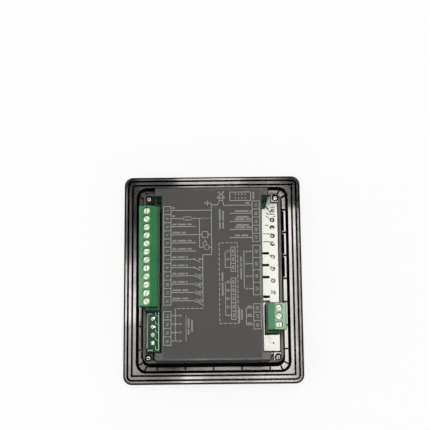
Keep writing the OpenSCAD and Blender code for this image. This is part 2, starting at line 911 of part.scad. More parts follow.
module processor() {
    color([0.07, 0.07, 0.07])
        translate([chip_place[0], chip_place[1], board_top]) block([chip_s, chip_s], chip_t);
}

module power_coil() {
    color([0.2, 0.2, 0.2])
        translate([coil_in - deck[0] / 2, coil_y, board_top]) cylinder(d = coil_d, h = coil_h);
}

module link_header() {
    low = display_front + board_t + socket_wall + link_tip_gap;
    color([0.06, 0.06, 0.06])
        translate([0, link_y, 0]) {
            translate([0, 0, board_under - link_h]) block([link_l, link_w], link_h);
            for (i = [0 : link_poles - 1], y = [-0.5, 0.5])
                translate([(i - (link_poles - 1) / 2) * link_pitch, y * link_pitch, low])
                    block([link_pin_s, link_pin_s], board_under - link_h - low + skin);
        }
}

module link_socket() {
    back = display_front + board_t;
    color([0.06, 0.06, 0.06])
        translate([0, link_y, back])
            difference() {
                block([link_l, link_w + 2 * socket_wall], socket_h);
                translate([0, 0, socket_wall]) block([link_l - 2 * socket_wall, link_w], socket_h);
            }
}

front_frame();
rear_housing();
case_screws();
front_film();
display_window();
lcd_frame();
lcd_glass();
lcd_backlight();
display_board();
display_screws();
key_switches();
key_stop();
key_manual();
key_auto();
key_start();
key_up();
key_down();
status_lamps();
main_board();
board_screws();
board_pads();
header_left();
pins_left();
plug_left();
clamps_left();
clamp_screws_left();
header_right();
pins_right();
plug_right();
clamps_right();
clamp_screws_right();
relays();
capacitors();
processor();
power_coil();
link_header();
link_socket();
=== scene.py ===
"""Looks of a panel-mounted generating-set controller that lies on its front with its back up.

Lengths are in millimetres until a mesh is made: X runs across, Y along the longer side, Z out of the back.
"""

import logging
import math
from dataclasses import dataclass, field
from enum import Enum

import bmesh
import bpy
import numpy as np
from mathutils import Matrix, Vector


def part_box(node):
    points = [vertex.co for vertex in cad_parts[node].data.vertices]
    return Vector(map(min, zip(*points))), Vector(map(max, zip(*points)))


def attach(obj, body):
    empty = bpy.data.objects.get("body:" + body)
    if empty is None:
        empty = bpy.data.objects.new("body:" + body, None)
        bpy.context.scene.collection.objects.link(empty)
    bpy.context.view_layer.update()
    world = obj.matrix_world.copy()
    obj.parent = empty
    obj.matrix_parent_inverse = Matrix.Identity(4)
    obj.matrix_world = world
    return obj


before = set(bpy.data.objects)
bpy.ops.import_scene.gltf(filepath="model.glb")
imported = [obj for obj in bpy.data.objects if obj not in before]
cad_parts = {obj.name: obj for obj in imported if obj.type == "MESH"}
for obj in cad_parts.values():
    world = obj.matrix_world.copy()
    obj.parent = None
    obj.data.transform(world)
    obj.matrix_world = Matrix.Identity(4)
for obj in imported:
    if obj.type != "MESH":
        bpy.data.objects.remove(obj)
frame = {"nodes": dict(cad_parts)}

LOG = logging.getLogger("controller")
MM = 0.001
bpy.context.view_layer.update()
# Materials: values between which most of a noise lies, the least roughness and the rays that round an edge
NOISE_LOW, NOISE_HIGH = 0.3, 0.7
LEAST_ROUGH = 0.02
EDGE_SAMPLES = 6
# Meshes, in metres: points that are merged, and edges that count as none
MERGE_M = 1e-7
THIN_M = 1e-8


def linear(hex_code: str) -> tuple[float, float, float, float]:
    """Turn an sRGB hex colour into linear light.

    Args:
        hex_code: Colour as six hex digits, with or without a leading mark.

    Returns:
        Red, green, blue and an alpha of one.
    """
    code = hex_code.lstrip("#")
    srgb = np.array([int(code[i:i + 2], 16) for i in (0, 2, 4)]) / 255
    light = np.where(srgb <= 0.04045, srgb / 12.92, ((srgb + 0.055) / 1.055) ** 2.4)
    return (*light.tolist(), 1.0)


def add_node(tree: bpy.types.NodeTree, kind: str, inputs: dict | None = None, **settings) -> bpy.types.Node:
    """Add one node with its settings, values and links.

    Args:
        tree: Node tree that takes the node.
        kind: Blender's name of the node type.
        inputs: Value or linked output socket for each input, by name or number.
        settings: Properties of the node itself.

    Returns:
        The new node.
    """
    node = tree.nodes.new(kind)
    for key, value in settings.items():
        setattr(node, key, value)
    for key, value in (inputs or {}).items():
        if isinstance(value, bpy.types.NodeSocket):
            tree.links.new(value, node.inputs[key])
        else:
            node.inputs[key].default_value = value
    return node


class Body(Enum):
    """Bodies that a piece can ride on. A key's body has the name of its node."""

    CONTROLLER = "controller"
    PLUG_LEFT = "plug_left"
    PLUG_RIGHT = "plug_right"
    KEY_STOP = "key_stop"
    KEY_MANUAL = "key_manual"
    KEY_AUTO = "key_auto"
    KEY_START = "key_start"
    KEY_UP = "key_up"
    KEY_DOWN = "key_down"


@dataclass(frozen=True)
class Finish:
    """One surface finish, with the values that are the same all over it."""

    name: str
    colour: str
    roughness: float
    ior: float = 1.5
    metallic: float = 0.0
    gloss: float = 0.5

    def material(self) -> bpy.types.Material:
        """Give the finish's material, made on first use.

        Returns:
            The material, whose shader holds the even values and the finish's own pattern.
        """
        known = bpy.data.materials.get(self.name)
        if known is not None:
            return known
        made = bpy.data.materials.new(self.name)
        made.use_nodes = True
        tree = made.node_tree
        shader = tree.nodes["Principled BSDF"]
        shader.inputs["Base Color"].default_value = linear(self.colour)
        shader.inputs["Roughness"].default_value = self.roughness
        shader.inputs["IOR"].default_value = self.ior
        shader.inputs["Metallic"].default_value = self.metallic
        shader.inputs["Specular IOR Level"].default_value = self.gloss
        self.pattern(tree, shader)
        return made

    def pattern(self, tree: bpy.types.NodeTree, shader: bpy.types.Node) -> None:
        """Add what varies over the surface. The plain finish has nothing more.

        Args:
            tree: Node tree that takes the nodes.
            shader: The finish's shader.
        """

    def noise(self, tree: bpy.types.NodeTree, size_mm: float, detail: float = 2.0) -> bpy.types.NodeSocket:
        """Give a noise whose lumps have a real size.

        Args:
            tree: Node tree that takes the nodes.
            size_mm: Width of a lump.
            detail: Octaves of finer noise.

        Returns:
            The noise's value, from 0 to 1.
        """
        place = add_node(tree, "ShaderNodeTexCoord")
        inputs = {"Vector": place.outputs["Object"], "Scale": 1 / (size_mm * MM), "Detail": detail}
        return add_node(tree, "ShaderNodeTexNoise", inputs).outputs["Fac"]

    def between(self, tree: bpy.types.NodeTree, value: bpy.types.NodeSocket, low: float,
                high: float) -> bpy.types.NodeSocket:
        """Spread the middle of a noise between two values.

        Args:
            tree: Node tree that takes the node.
            value: Noise from 0 to 1.
            low: Result at the noise's low end.
            high: Result at the noise's high end.

        Returns:
            The spread value.
        """
        inputs = {"Value": value, "From Min": NOISE_LOW, "From Max": NOISE_HIGH, "To Min": low,
                  "To Max": high}
        return add_node(tree, "ShaderNodeMapRange", inputs).outputs["Result"]

    def tint(self, tree: bpy.types.NodeTree, shader: bpy.types.Node, value: bpy.types.NodeSocket,
             other: str) -> None:
        """Vary the base colour towards another one.

        Args:
            tree: Node tree that takes the node.
            shader: Shader whose colour varies.
            value: Share of the other colour.
            other: The other colour, as hex digits.
        """
        inputs = {0: value, 6: linear(self.colour), 7: linear(other)}
        mix = add_node(tree, "ShaderNodeMix", inputs, data_type="RGBA")
        tree.links.new(mix.outputs[2], shader.inputs["Base Color"])

    def edges(self, tree: bpy.types.NodeTree, radius_mm: float) -> bpy.types.NodeSocket:
        """Give the normal of edges that shade as rounded by a radius."""
        bevel = add_node(tree, "ShaderNodeBevel", {"Radius": radius_mm * MM}, samples=EDGE_SAMPLES)
        return bevel.outputs["Normal"]

    def bump(self, tree: bpy.types.NodeTree, size_mm: float, depth_mm: float, **more) -> bpy.types.NodeSocket:
        """Give the normal of a bumpy face whose lumps have a real size and depth.

        Args:
            tree: Node tree that takes the nodes.
            size_mm: Width of a lump.
            depth_mm: Depth between the lumps.
            more: Other inputs of the bump, by name.

        Returns:
            The normal.
        """
        inputs = {"Height": self.noise(tree, size_mm), "Distance": depth_mm * MM, **more}
        return add_node(tree, "ShaderNodeBump", inputs).outputs["Normal"]


@dataclass(frozen=True)
class Moulded(Finish):
    """Injection-moulded plastic: flow waviness, a fine tool grain and edges left slightly round."""

    grain_mm: float = 0.35
    grain_depth_mm: float = 0.0
    wave_mm: float = 16.0
    wave_depth_mm: float = 0.0
    edge_mm: float = 0.15
    patch: str = ""
    haze: float = 0.04
    polished_below_mm: float = 0.0
    polished: float = 0.09
    matt_below_mm: float = 0.0

    def above(self, tree: bpy.types.NodeTree, height_mm: float) -> bpy.types.NodeSocket:
        """Mark what lies above a height.

        Args:
            tree: Node tree that takes the nodes.
            height_mm: The height, in the object's own coordinates.

        Returns:
            One above the height and nought below it.
        """
        place = add_node(tree, "ShaderNodeTexCoord")
        height = add_node(tree, "ShaderNodeSeparateXYZ", {0: place.outputs["Object"]}).outputs["Z"]
        inputs = {0: height, 1: height_mm * MM}
        return add_node(tree, "ShaderNodeMath", inputs, operation="GREATER_THAN").outputs[0]

    def pattern(self, tree: bpy.types.NodeTree, shader: bpy.types.Node) -> None:
        """Round the edges, add waves and grain as bump, and vary roughness and colour a little.

        Args:
            tree: Node tree that takes the nodes.
            shader: The finish's shader.
        """
        zoned = self.polished_below_mm > 0
        grained = self.above(tree, self.polished_below_mm) if zoned else 1.0
        normal = self.edges(tree, self.edge_mm)
        for size, depth in ((self.wave_mm, self.wave_depth_mm), (self.grain_mm, self.grain_depth_mm)):
            if depth > 0:
                normal = self.bump(tree, size, depth, Normal=normal, Strength=grained)
        tree.links.new(normal, shader.inputs["Normal"])
        cloud = self.noise(tree, self.wave_mm, 4.0)
        least = max(self.roughness - self.haze, LEAST_ROUGH)
        rough = self.between(tree, cloud, least, self.roughness + self.haze)
        if zoned:
            inputs = {0: grained, 2: self.polished, 3: rough}
            rough = add_node(tree, "ShaderNodeMix", inputs, data_type="FLOAT").outputs[0]
            inputs = {0: self.above(tree, self.matt_below_mm), 1: self.gloss}
            gloss = add_node(tree, "ShaderNodeMath", inputs, operation="MULTIPLY").outputs[0]
            tree.links.new(gloss, shader.inputs["Specular IOR Level"])
        tree.links.new(rough, shader.inputs["Roughness"])
        if self.patch:
            self.tint(tree, shader, self.between(tree, cloud, 0.0, 1.0), self.patch)


@dataclass(frozen=True)
class Plated(Finish):
    """Plated metal: a thin bright coat with small streaks and dull spots."""

    spot_mm: float = 0.8
    spread: float = 0.12
    dull: str = "B8B4A8"
    dull_share: float = 0.6
    edge_mm: float = 0.12

    def pattern(self, tree: bpy.types.NodeTree, shader: bpy.types.Node) -> None:
        """Vary roughness and colour in small spots and round the edges.

        Args:
            tree: Node tree that takes the nodes.
            shader: The finish's shader.
        """
        spots = self.noise(tree, self.spot_mm, 4.0)
        rough = self.between(tree, spots, self.roughness - self.spread, self.roughness + self.spread)
        tree.links.new(rough, shader.inputs["Roughness"])
        self.tint(tree, shader, self.between(tree, spots, 0.0, self.dull_share), self.dull)
        tree.links.new(self.edges(tree, self.edge_mm), shader.inputs["Normal"])


@dataclass(frozen=True)
class SolderMask(Finish):
    """Glossy solder mask over glass-fibre board: a faint weave, and copper that shows as paler green."""

    pour: str = "15704A"
    weave_mm: float = 1.2
    weave_depth_mm: float = 0.0015
    cloud_mm: float = 6.0
    pour_share: float = 0.7

    def pattern(self, tree: bpy.types.NodeTree, shader: bpy.types.Node) -> None:
        """Add paler pours and the weave as a fine bump.

        Args:
            tree: Node tree that takes the nodes.
            shader: The finish's shader.
        """
        cloud = self.between(tree, self.noise(tree, self.cloud_mm, 1.0), 0.0, self.pour_share)
        self.tint(tree, shader, cloud, self.pour)
        tree.links.new(self.bump(tree, self.weave_mm, self.weave_depth_mm), shader.inputs["Normal"])


@dataclass(frozen=True)
class Film(Finish):
    """Printed plastic film with a matt face: a fine even grain and a slow change of shade."""

    grain_mm: float = 0.3
    grain_depth_mm: float = 0.006
    patch: str = ""
    patch_mm: float = 22.0

    def pattern(self, tree: bpy.types.NodeTree, shader: bpy.types.Node) -> None:
        """Add the matt grain as bump and a soft change of shade.

        Args:
            tree: Node tree that takes the nodes.
            shader: The finish's shader.
        """
        tree.links.new(self.bump(tree, self.grain_mm, self.grain_depth_mm), shader.inputs["Normal"])
        if self.patch:
            shade = self.between(tree, self.noise(tree, self.patch_mm, 3.0), 0.0, 1.0)
            self.tint(tree, shader, shade, self.patch)


@dataclass(frozen=True)
class Clear(Finish):
    """Clear or tinted plastic or glass that light passes through."""

    passes: float = 1.0
    wipe_mm: float = 5.0
    wipe_haze: float = 0.05

    def pattern(self, tree: bpy.types.NodeTree, shader: bpy.types.Node) -> None:
        """Let light through and leave faint wiping marks in the gloss.

        Args:
            tree: Node tree that takes the nodes.
            shader: The finish's shader.
        """
        shader.inputs["Transmission Weight"].default_value = self.passes
        wipes = self.noise(tree, self.wipe_mm, 3.0)
        rough = self.between(tree, wipes, self.roughness, self.roughness + self.wipe_haze)
        tree.links.new(rough, shader.inputs["Roughness"])


# Bezel: gloss black ABS, polished tool, so flats mirror the lamps in slightly wavy bands
BEZEL_GLOSS = Moulded("gloss_black_abs", "080809", 0.08, ior=1.53, wave_mm=18.0, wave_depth_mm=0.025,
                      edge_mm=0.2, haze=0.04)
# Rear housing: black ABS from a tool that is matt on the wall, polished on the bosses and spark-eroded above,
# so the wall stays black while the rim and the deck look hazy grey under the lamps
HOUSING_GRAIN = Moulded("grained_black_abs", "090909", 0.3, ior=1.52, grain_mm=0.3, grain_depth_mm=0.012,
                        wave_mm=20.0, edge_mm=0.15, patch="0C0C0C", polished_below_mm=22.4,
                        matt_below_mm=21.9)
# Plugs: green polyamide with a dull sheen
PLUG_GREEN = Moulded("moulded_green_polyamide", "398252", 0.1, ior=1.45, gloss=0.28, grain_mm=0.25,
                     grain_depth_mm=0.006, wave_mm=14.0, edge_mm=0.18, patch="3F8957")
# Headers: green polyamide, darkened further as painted shade where they lie beside the plugs
HEADER_GREEN = Moulded("green_polyamide_darkened_as_painted_shade", "144F33", 0.4, ior=1.53, grain_mm=0.25,
                       grain_depth_mm=0.006, edge_mm=0.12, patch="185738")
RELAY_SHELL = Moulded("moulded_relay_shell", "D98C2B", 0.4, edge_mm=0.2)
SWITCH_BLACK = Moulded("moulded_black_nylon", "161617", 0.45, edge_mm=0.1)
SLEEVE_DARK = Moulded("shrunk_pvc_sleeve", "16181F", 0.3, edge_mm=0.3)
KEY_RED = Moulded("moulded_red_key", "B01C16", 0.34, grain_mm=0.3, grain_depth_mm=0.004, edge_mm=0.2)
KEY_GREEN = Moulded("moulded_green_key", "1C8A3A", 0.34, grain_mm=0.3, grain_depth_mm=0.004, edge_mm=0.2)
KEY_GREY = Moulded("moulded_grey_key", "8B9095", 0.34, grain_mm=0.3, grain_depth_mm=0.004, edge_mm=0.2)
BACKLIGHT = Moulded("moulded_white_light_guide", "E4E5E0", 0.4, edge_mm=0.1)
# Boards and what is printed and soldered on them
BOARD_GREEN = SolderMask("gloss_green_solder_mask", "004B2A", 0.07, ior=1.55, pour="07673F")
BOARD_INK = Film("pale_green_board_ink", "DCFFEC", 0.5, grain_mm=0.2, patch="CFFAE2")
# Duller grey-green ink for the mark on the right strip
DIM_INK = Film("dim_board_ink", "5F8270", 0.5, grain_mm=0.2, patch="6A8E7B")
# Painted dark reflection at the rim of the right pads' solder
PAINTED_DARK_RIM = Film("painted_dark_solder_rim", "0F110B", 0.7, gloss=0.1, grain_mm=0.3, patch="171A12")
TRACK_GREEN = SolderMask("solder_mask_over_copper", "1B7A50", 0.07, ior=1.55, pour="22875B")
# Bare board in slots and holes, and painted shade in the strip beside the left bay
DARK_BOARD_AND_SHADE = Film("bare_board_and_painted_shade", "0A1A10", 0.6, gloss=0.1, grain_mm=0.2, patch="0D2014")
TIN = Plated("tinned_copper", "E2E2DA", 0.22, metallic=1.0, spot_mm=0.6)
# White lobes on the left solder: painted highlight in a near-white, mostly non-metal coat
SOLDER_HIGHLIGHT = Plated("white_painted_solder_highlight", "F4FFF8", 0.45, metallic=0.1, spot_mm=0.7, dull="E2F5EA")
BRIGHT_SOLDER = Plated("bright_solder", "D8DCD6", 0.12, metallic=1.0, spot_mm=0.7, spread=0.06, dull="C8CCC6")
COATED_SOLDER = Plated("solder_under_clear_flux", "7C8078", 0.1, spot_mm=0.7, spread=0.04, dull="6E726A")
# Screws: nickel on the clamps, zinc on the case
NICKEL = Plated("nickel_plated_steel", "E6F0DE", 0.5, metallic=1.0, dull="D6DFCC")
ZINC = Plated("zinc_plated_steel", "B9B9B4", 0.35, metallic=1.0)
DISPLAY_METAL = Plated("tinned_sheet", "C9CACB", 0.3, metallic=1.0)
# Painted shade in gaps, slots and holes: matt black, grey and dark green
SHADE_BLACK = Film("matt_black_painted_shade", "050505", 0.9, gloss=0.0, grain_mm=0.2, patch="080808")
SLOT_SHADE = Film("grey_painted_slot_shade", "A9A68E", 0.7, grain_mm=0.2, patch="B4B199")
HOLE_SHADE = Film("dark_green_painted_hole_shade", "10231A", 0.8, gloss=0.2, grain_mm=0.2, patch="142B20")
# Deck label: matt printed film, and the ink of its lines and of its words
LABEL_FILM = Film("matt_charcoal_film", "363634", 0.5, patch="3A3937")
LINE_INK = Film("pale_grey_ink", "A6A69F", 0.5, grain_mm=0.2)
WORD_INK = Film("mid_grey_ink", "84847E", 0.5, grain_mm=0.2)
# Front: printed film, its fields and the display
FRONT_FILM = Film("printed_dark_film", "2C3138", 0.4, patch="2F343B")
FIELD_PALE = Film("pale_field_ink", "B9BEC2", 0.45)
FIELD_BLACK = Film("black_field_ink", "0E0F11", 0.3)
PANE = Clear("clear_polycarbonate", "F2F6F5", 0.03, ior=1.58)
LCD_GLASS = Film("display_glass", "8FA38A", 0.18, patch="95A98F")
LCD_INK = Film("display_dark_segments", "1D2620", 0.25, grain_depth_mm=0.002, patch="232D26")
LAMP = Clear("amber_lamp_lens", "D8641E", 0.12, passes=0.35)

NODE_FINISH: dict[str, Finish] = {
    "front_frame": BEZEL_GLOSS, "rear_housing": HOUSING_GRAIN, "case_screws": ZINC, "front_film": FRONT_FILM,
    "display_window": PANE, "lcd_frame": DISPLAY_METAL, "lcd_glass": LCD_GLASS, "lcd_backlight": BACKLIGHT,
    "display_board": BOARD_GREEN, "display_screws": ZINC, "key_switches": SWITCH_BLACK, "key_stop": KEY_RED,
    "key_manual": KEY_GREY, "key_auto": KEY_GREY, "key_start": KEY_GREEN, "key_up": KEY_GREY,
    "key_down": KEY_GREY, "status_lamps": LAMP, "main_board": BOARD_GREEN, "board_screws": ZINC,
    "board_pads": COATED_SOLDER, "header_left": HEADER_GREEN, "pins_left": TIN, "plug_left": PLUG_GREEN,
    "clamps_left": NICKEL, "clamp_screws_left": NICKEL, "header_right": HEADER_GREEN, "pins_right": TIN,
    "plug_right": PLUG_GREEN, "clamps_right": NICKEL, "clamp_screws_right": NICKEL, "relays": RELAY_SHELL,
    "capacitors": SLEEVE_DARK, "processor": SWITCH_BLACK, "power_coil": SLEEVE_DARK,
    "link_header": SWITCH_BLACK, "link_socket": SWITCH_BLACK,
}


@dataclass
class Surface:
    """Points in millimetres and the faces that join them."""

    points: np.ndarray
    faces: np.ndarray

    @staticmethod
    def join(parts: list["Surface"]) -> "Surface":
        """Put several surfaces into one.

        Args:
            parts: Surfaces with faces of four corners.

        Returns:
            One surface with the faces of all.
        """
        starts = np.cumsum([0] + [len(part.points) for part in parts[:-1]])
        faces = [part.faces + start for part, start in zip(parts, starts)]
        return Surface(np.concatenate([part.points for part in parts]), np.concatenate(faces))

    @staticmethod
    def repeat(points: np.ndarray, faces: np.ndarray) -> "Surface":
        """Put many forms with the same faces into one.

        Args:
            points: Array of shape (forms, count, 3).
            faces: Faces of one form.

        Returns:
            One surface with all the forms.
        """
        forms, count = points.shape[:2]
        every = np.asarray(faces)[None] + count * np.arange(forms)[:, None, None]
        return Surface(points.reshape(-1, 3), every.reshape(-1, 4))

    def piece(self, name: str, finish: Finish, body: Body = Body.CONTROLLER, slot: str = "",
              smooth: bool = False) -> None:
        """Make the surface an object that rides on a body, with doubles merged and faces outwards.

        Args:
            name: Name of the piece.
            finish: Finish of the piece.
            body: Body that carries it.
            slot: Not used.
            smooth: True where the faces shade as one curve.
        """
        mesh = bpy.data.meshes.new(name)
        mesh.from_pydata((self.points * MM).tolist(), [], self.faces.tolist())
        shape = bmesh.new()
        shape.from_mesh(mesh)
        bmesh.ops.remove_doubles(shape, verts=shape.verts, dist=MERGE_M)
        bmesh.ops.dissolve_degenerate(shape, edges=shape.edges, dist=THIN_M)
        bmesh.ops.recalc_face_normals(shape, faces=shape.faces)
        shape.to_mesh(mesh)
        shape.free()
        mesh.polygons.foreach_set("use_smooth", np.full(len(mesh.polygons), smooth))
        mesh.materials.append(finish.material())
        made = bpy.data.objects.new(name, mesh)
        bpy.context.scene.collection.objects.link(made)
        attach(made, body.value)
        LOG.info("%s: %d faces on %s", name, len(mesh.polygons), body.value)


BOX_FACES = np.array([[0, 1, 2, 3], [7, 6, 5, 4], [0, 4, 5, 1], [1, 5, 6, 2], [2, 6, 7, 3], [3, 7, 4, 0]])


def along(lines: np.ndarray, width: float) -> tuple[np.ndarray, np.ndarray]:
    """Way that each line runs, and the step of half a width to its left.

    Args:
        lines: Array of shape (count, 2, 2) with each line's two ends.
        width: Width across a line.

    Returns:
        Two arrays of shape (count, 2).
    """
    run = lines[:, 1] - lines[:, 0]
    run /= np.maximum(np.linalg.norm(run, axis=1, keepdims=True), 1e-9)
    return run, np.stack([-run[:, 1], run[:, 0]], axis=1) * width / 2


def bars(lines: np.ndarray, width: float, low: float, high: float) -> Surface:
    """Closed flat bars: each straight line is widened to both sides and raised between two heights.

    Args:
        lines: Array of shape (count, 2, 2) with each line's two ends.
        width: Width of a bar, which also goes past each end by half of it.
        low: Height of the underside.
        high: Height of the top.

    Returns:
        The bars.
    """
    lines = np.asarray(lines, float)
    run, side = along(lines, width)
    start, end = lines[:, 0] - run * width / 2, lines[:, 1] + run * width / 2
    ring = np.stack([start - side, end - side, end + side, start + side], axis=1)
    heights = np.broadcast_to(np.repeat([low, high], 4)[None, :, None], (len(ring), 8, 1))
    return Surface.repeat(np.concatenate([np.concatenate([ring, ring], axis=1), heights], axis=2), BOX_FACES)


def path(points: list[tuple[float, float]], closed: bool = False) -> np.ndarray:
    """Cut a path into its straight lines.

    Args:
        points: Corners of the path.
        closed: True if the last corner joins the first.

    Returns:
        Array of shape (count, 2, 2).
    """
    corners = np.asarray(points, float)
    ends = np.roll(corners, -1, axis=0)
    lines = np.stack([corners, ends], axis=1)
    return lines if closed else lines[:-1]


def arc(centre: tuple[float, float], radius: float, start: float = 0.0, end: float = 360.0,
        steps: int = 16) -> np.ndarray:
    """Cut a circle's arc into short lines.

    Args:
        centre: Middle of the circle.
        radius: Radius of the circle.
        start: First angle in degrees.
        end: Last angle in degrees.
        steps: Number of lines.

    Returns:
        Array of shape (steps, 2, 2).
    """
    turn = np.radians(np.linspace(start, end, steps + 1))
    return path(np.stack([centre[0] + radius * np.cos(turn), centre[1] + radius * np.sin(turn)], axis=1))


def dashes(start: tuple[float, float], end: tuple[float, float], pitch: float,
           share: float = 0.55) -> np.ndarray:
    """Cut a straight line into dashes.

    Args:
        start: First end of the line.
        end: Last end of the line.
        pitch: Spacing of the dashes.
        share: Drawn share of each spacing.

    Returns:
        Array of shape (count, 2, 2).
    """
    a, b = np.asarray(start, float), np.asarray(end, float)
    count = max(int(round(np.linalg.norm(b - a) / pitch)), 1)
    at = np.arange(count)[:, None] / count
    return np.stack([a + (b - a) * at, a + (b - a) * (at + share / count)], axis=1)


def ridges(lines: np.ndarray, width: float, low: float, high: float, steps: int = 9) -> Surface:
    """Closed round-topped ridges: half an ellipse across each line, carried from the line's start to its end.

    Args:
        lines: Array of shape (count, 2, 2) with each line's two ends.
        width: Width of a ridge.
        low: Height of its underside.
        high: Height of its crest.
        steps: Faces across the crest, an odd number.

    Returns:
        The ridges.
    """
    lines = np.asarray(lines, float)
    side = along(lines, width)[1]
    turn = np.linspace(0, np.pi, steps + 1)
    flat = lines[:, :, None] + side[:, None, None] * np.cos(turn)[None, None, :, None]
    rise = np.broadcast_to((low + (high - low) * np.sin(turn))[None, None, :, None], (*flat.shape[:3], 1))
    points = np.concatenate([flat, rise], axis=3)
    k, n = np.arange(steps), steps + 1
    skin = np.stack([k, k + 1, n + k + 1, n + k], axis=1)
    half = np.arange(n // 2 - 1)
    cap = np.stack([half, half + 1, steps - half - 1, steps - half], axis=1)
    one = np.concatenate([skin, cap, cap + n, [[0, steps, n + steps, n]]])
    return Surface.repeat(points.reshape(len(lines), -1, 3), one)


def ring_faces(rows: int, steps: int, closed: bool = False) -> np.ndarray:
    """Faces between rings of points, each joined to the next.

    Args:
        rows: Number of rings.
        steps: Points in a ring.
        closed: True if the last ring joins the first.

    Returns:
        Array of shape (count, 4).
    """
    i, j = np.meshgrid(np.arange(rows if closed else rows - 1), np.arange(steps), indexing="ij")
    up, on = (i + 1) % rows, (j + 1) % steps
    return np.stack([i * steps + j, i * steps + on, up * steps + on, up * steps + j], axis=2).reshape(-1, 4)


def rings(rows: list[tuple[np.ndarray, float]], centre: tuple[float, float], closed: bool = False) -> Surface:
    """Skin over a run of outlines, each at its own height and joined to the next.

    Args:
        rows: Each outline round the origin, and its height.
        centre: Place of the form.
        closed: True if the last outline joins the first.

    Returns:
        The skin.
    """
    points = np.concatenate([np.column_stack([row + centre, np.full(len(row), z)]) for row, z in rows])
    return Surface(points, ring_faces(len(rows), len(rows[0][0]), closed))


def turned(profile: np.ndarray, centres: np.ndarray, steps: int = 24, closed: bool = False,
           lean: np.ndarray | None = None) -> Surface:
    """Turn a profile of radius and height round an upright axis at each centre.

    Args:
        profile: Array of shape (count, 2) with radius and height.
        centres: Array of shape (places, 2).
        steps: Faces round the axis.
        closed: True if the profile's last point joins its first.
        lean: Array of shape (places, 2) with the share of its rise that each form moves sideways.

    Returns:
        The turned forms.
    """
    profile, centres = np.asarray(profile, float), np.asarray(centres, float).reshape(-1, 2)
    turn = np.linspace(0, 2 * np.pi, steps, endpoint=False)
    x = profile[:, 0, None] * np.cos(turn)
    y = profile[:, 0, None] * np.sin(turn)
    z = np.broadcast_to(profile[:, 1, None], x.shape)
    one = np.stack([x, y, z], axis=2).reshape(-1, 3)
    points = one[None] + np.pad(centres, ((0, 0), (0, 1)))[:, None]
    if lean is not None:
        points[:, :, :2] += lean[:, None] * (one[:, 2] - profile[:, 1].min())[None, :, None]
    return Surface.repeat(points, ring_faces(len(profile), steps, closed))


def discs(centres: np.ndarray, radius: float, low: float, high: float, steps: int) -> Surface:
    """Flat round discs: a profile from the axis out, up and back, turned at each centre."""
    return turned([[0, low], [radius, low], [radius, high], [0, high]], centres, steps)


def rounded(width: float, height: float, radius: float, steps: int = 6) -> np.ndarray:
    """Outline of a rectangle whose corners are quarter circles.

    Args:
        width: Size along X.
        height: Size along Y.
        radius: Radius of the corners.
        steps: Lines in a corner.

    Returns:
        Array of shape (4 * (steps + 1), 2), running anticlockwise.
    """
    turn = np.radians(np.linspace(0, 90, steps + 1)[None] + np.arange(4)[:, None] * 90)
    signs = np.array([[1, 1], [-1, 1], [-1, -1], [1, -1]])
    middle = signs * [width / 2 - radius, height / 2 - radius]
    corner = np.stack([np.cos(turn), np.sin(turn)], axis=2) * radius
    return (middle[:, None] + corner).reshape(-1, 2)


def plate(outline: np.ndarray, centre: tuple[float, float], low: float, high: float,
          edge: float = 0.0) -> Surface:
    """Flat plate: an outline carried from the middle out, up its rim, over a small edge and back.

    Args:
        outline: Array of shape (count, 2) round the origin.
        centre: Place of the plate.
        low: Height of one face.
        high: Height of the other face.
        edge: Width of the chamfer at the second face.

    Returns:
        The plate.
    """
    reach = np.abs(outline).max(axis=0)
    inner = outline * (1 - edge / reach)
    fall = edge if high > low else -edge
    rows = [(outline * 0, low), (outline, low), (outline, high - fall), (inner, high), (inner * 0, high)]
    return rings(rows, centre)


@dataclass
class Digits:
    """Plain numbers drawn with straight strokes on a small grid, two units wide and four high."""

    height: float = 1.5
    gap: float = 0.45
    strokes: dict[str, list[list[tuple[float, float]]]] = field(default_factory=lambda: {
        "0": [[(0, 0), (2, 0), (2, 4), (0, 4), (0, 0)]],
        "1": [[(0.4, 3.2), (1.2, 4), (1.2, 0)]],
        "2": [[(0, 4), (2, 4), (2, 2), (0, 2), (0, 0), (2, 0)]],
        "3": [[(0, 4), (2, 4), (2, 0), (0, 0)], [(0.4, 2), (2, 2)]],
        "4": [[(0, 4), (0, 1.6), (2, 1.6)], [(1.6, 2.8), (1.6, 0)]],
        "5": [[(2, 4), (0, 4), (0, 2), (2, 2), (2, 0), (0, 0)]],
        "6": [[(2, 4), (0, 4), (0, 0), (2, 0), (2, 2), (0, 2)]],
        "7": [[(0, 4), (2, 4), (0.8, 0)]],
        "8": [[(0, 0), (2, 0), (2, 4), (0, 4), (0, 0)], [(0, 2), (2, 2)]],
        "9": [[(0, 0), (2, 0), (2, 4), (0, 4), (0, 2), (2, 2)]],
        ".": [[(0.9, 0), (1.1, 0)]],
    })

    def lines(self, word: str, centre: tuple[float, float], turn: float = 0.0,
              mirror: bool = False) -> np.ndarray:
        """Lines of a number round its centre.

        Args:
            word: Digits to draw.
            centre: Middle of the number.
            turn: Turn in degrees, anticlockwise.
            mirror: True on the front, which is seen from below.

        Returns:
            Array of shape (count, 2, 2).
        """
        unit = self.height / 4
        step = 2 * unit + self.gap
        parts = [path(stroke) * unit + [i * step, 0]
                 for i, digit in enumerate(word) for stroke in self.strokes[digit]]
        drawn = np.concatenate(parts) - [(len(word) * step - self.gap) / 2, self.height / 2]
        c, s = math.cos(math.radians(turn)), math.sin(math.radians(turn))
        drawn = drawn @ np.array([[c, s], [-s, c]])
        return drawn * ([-1, 1] if mirror else [1, 1]) + centre


# Spacing of the terminals' poles and of the wide ones, and how far print reaches into what carries it
PITCH = 5.08
WIDE_PITCH = 7.62
SUNK = 0.01


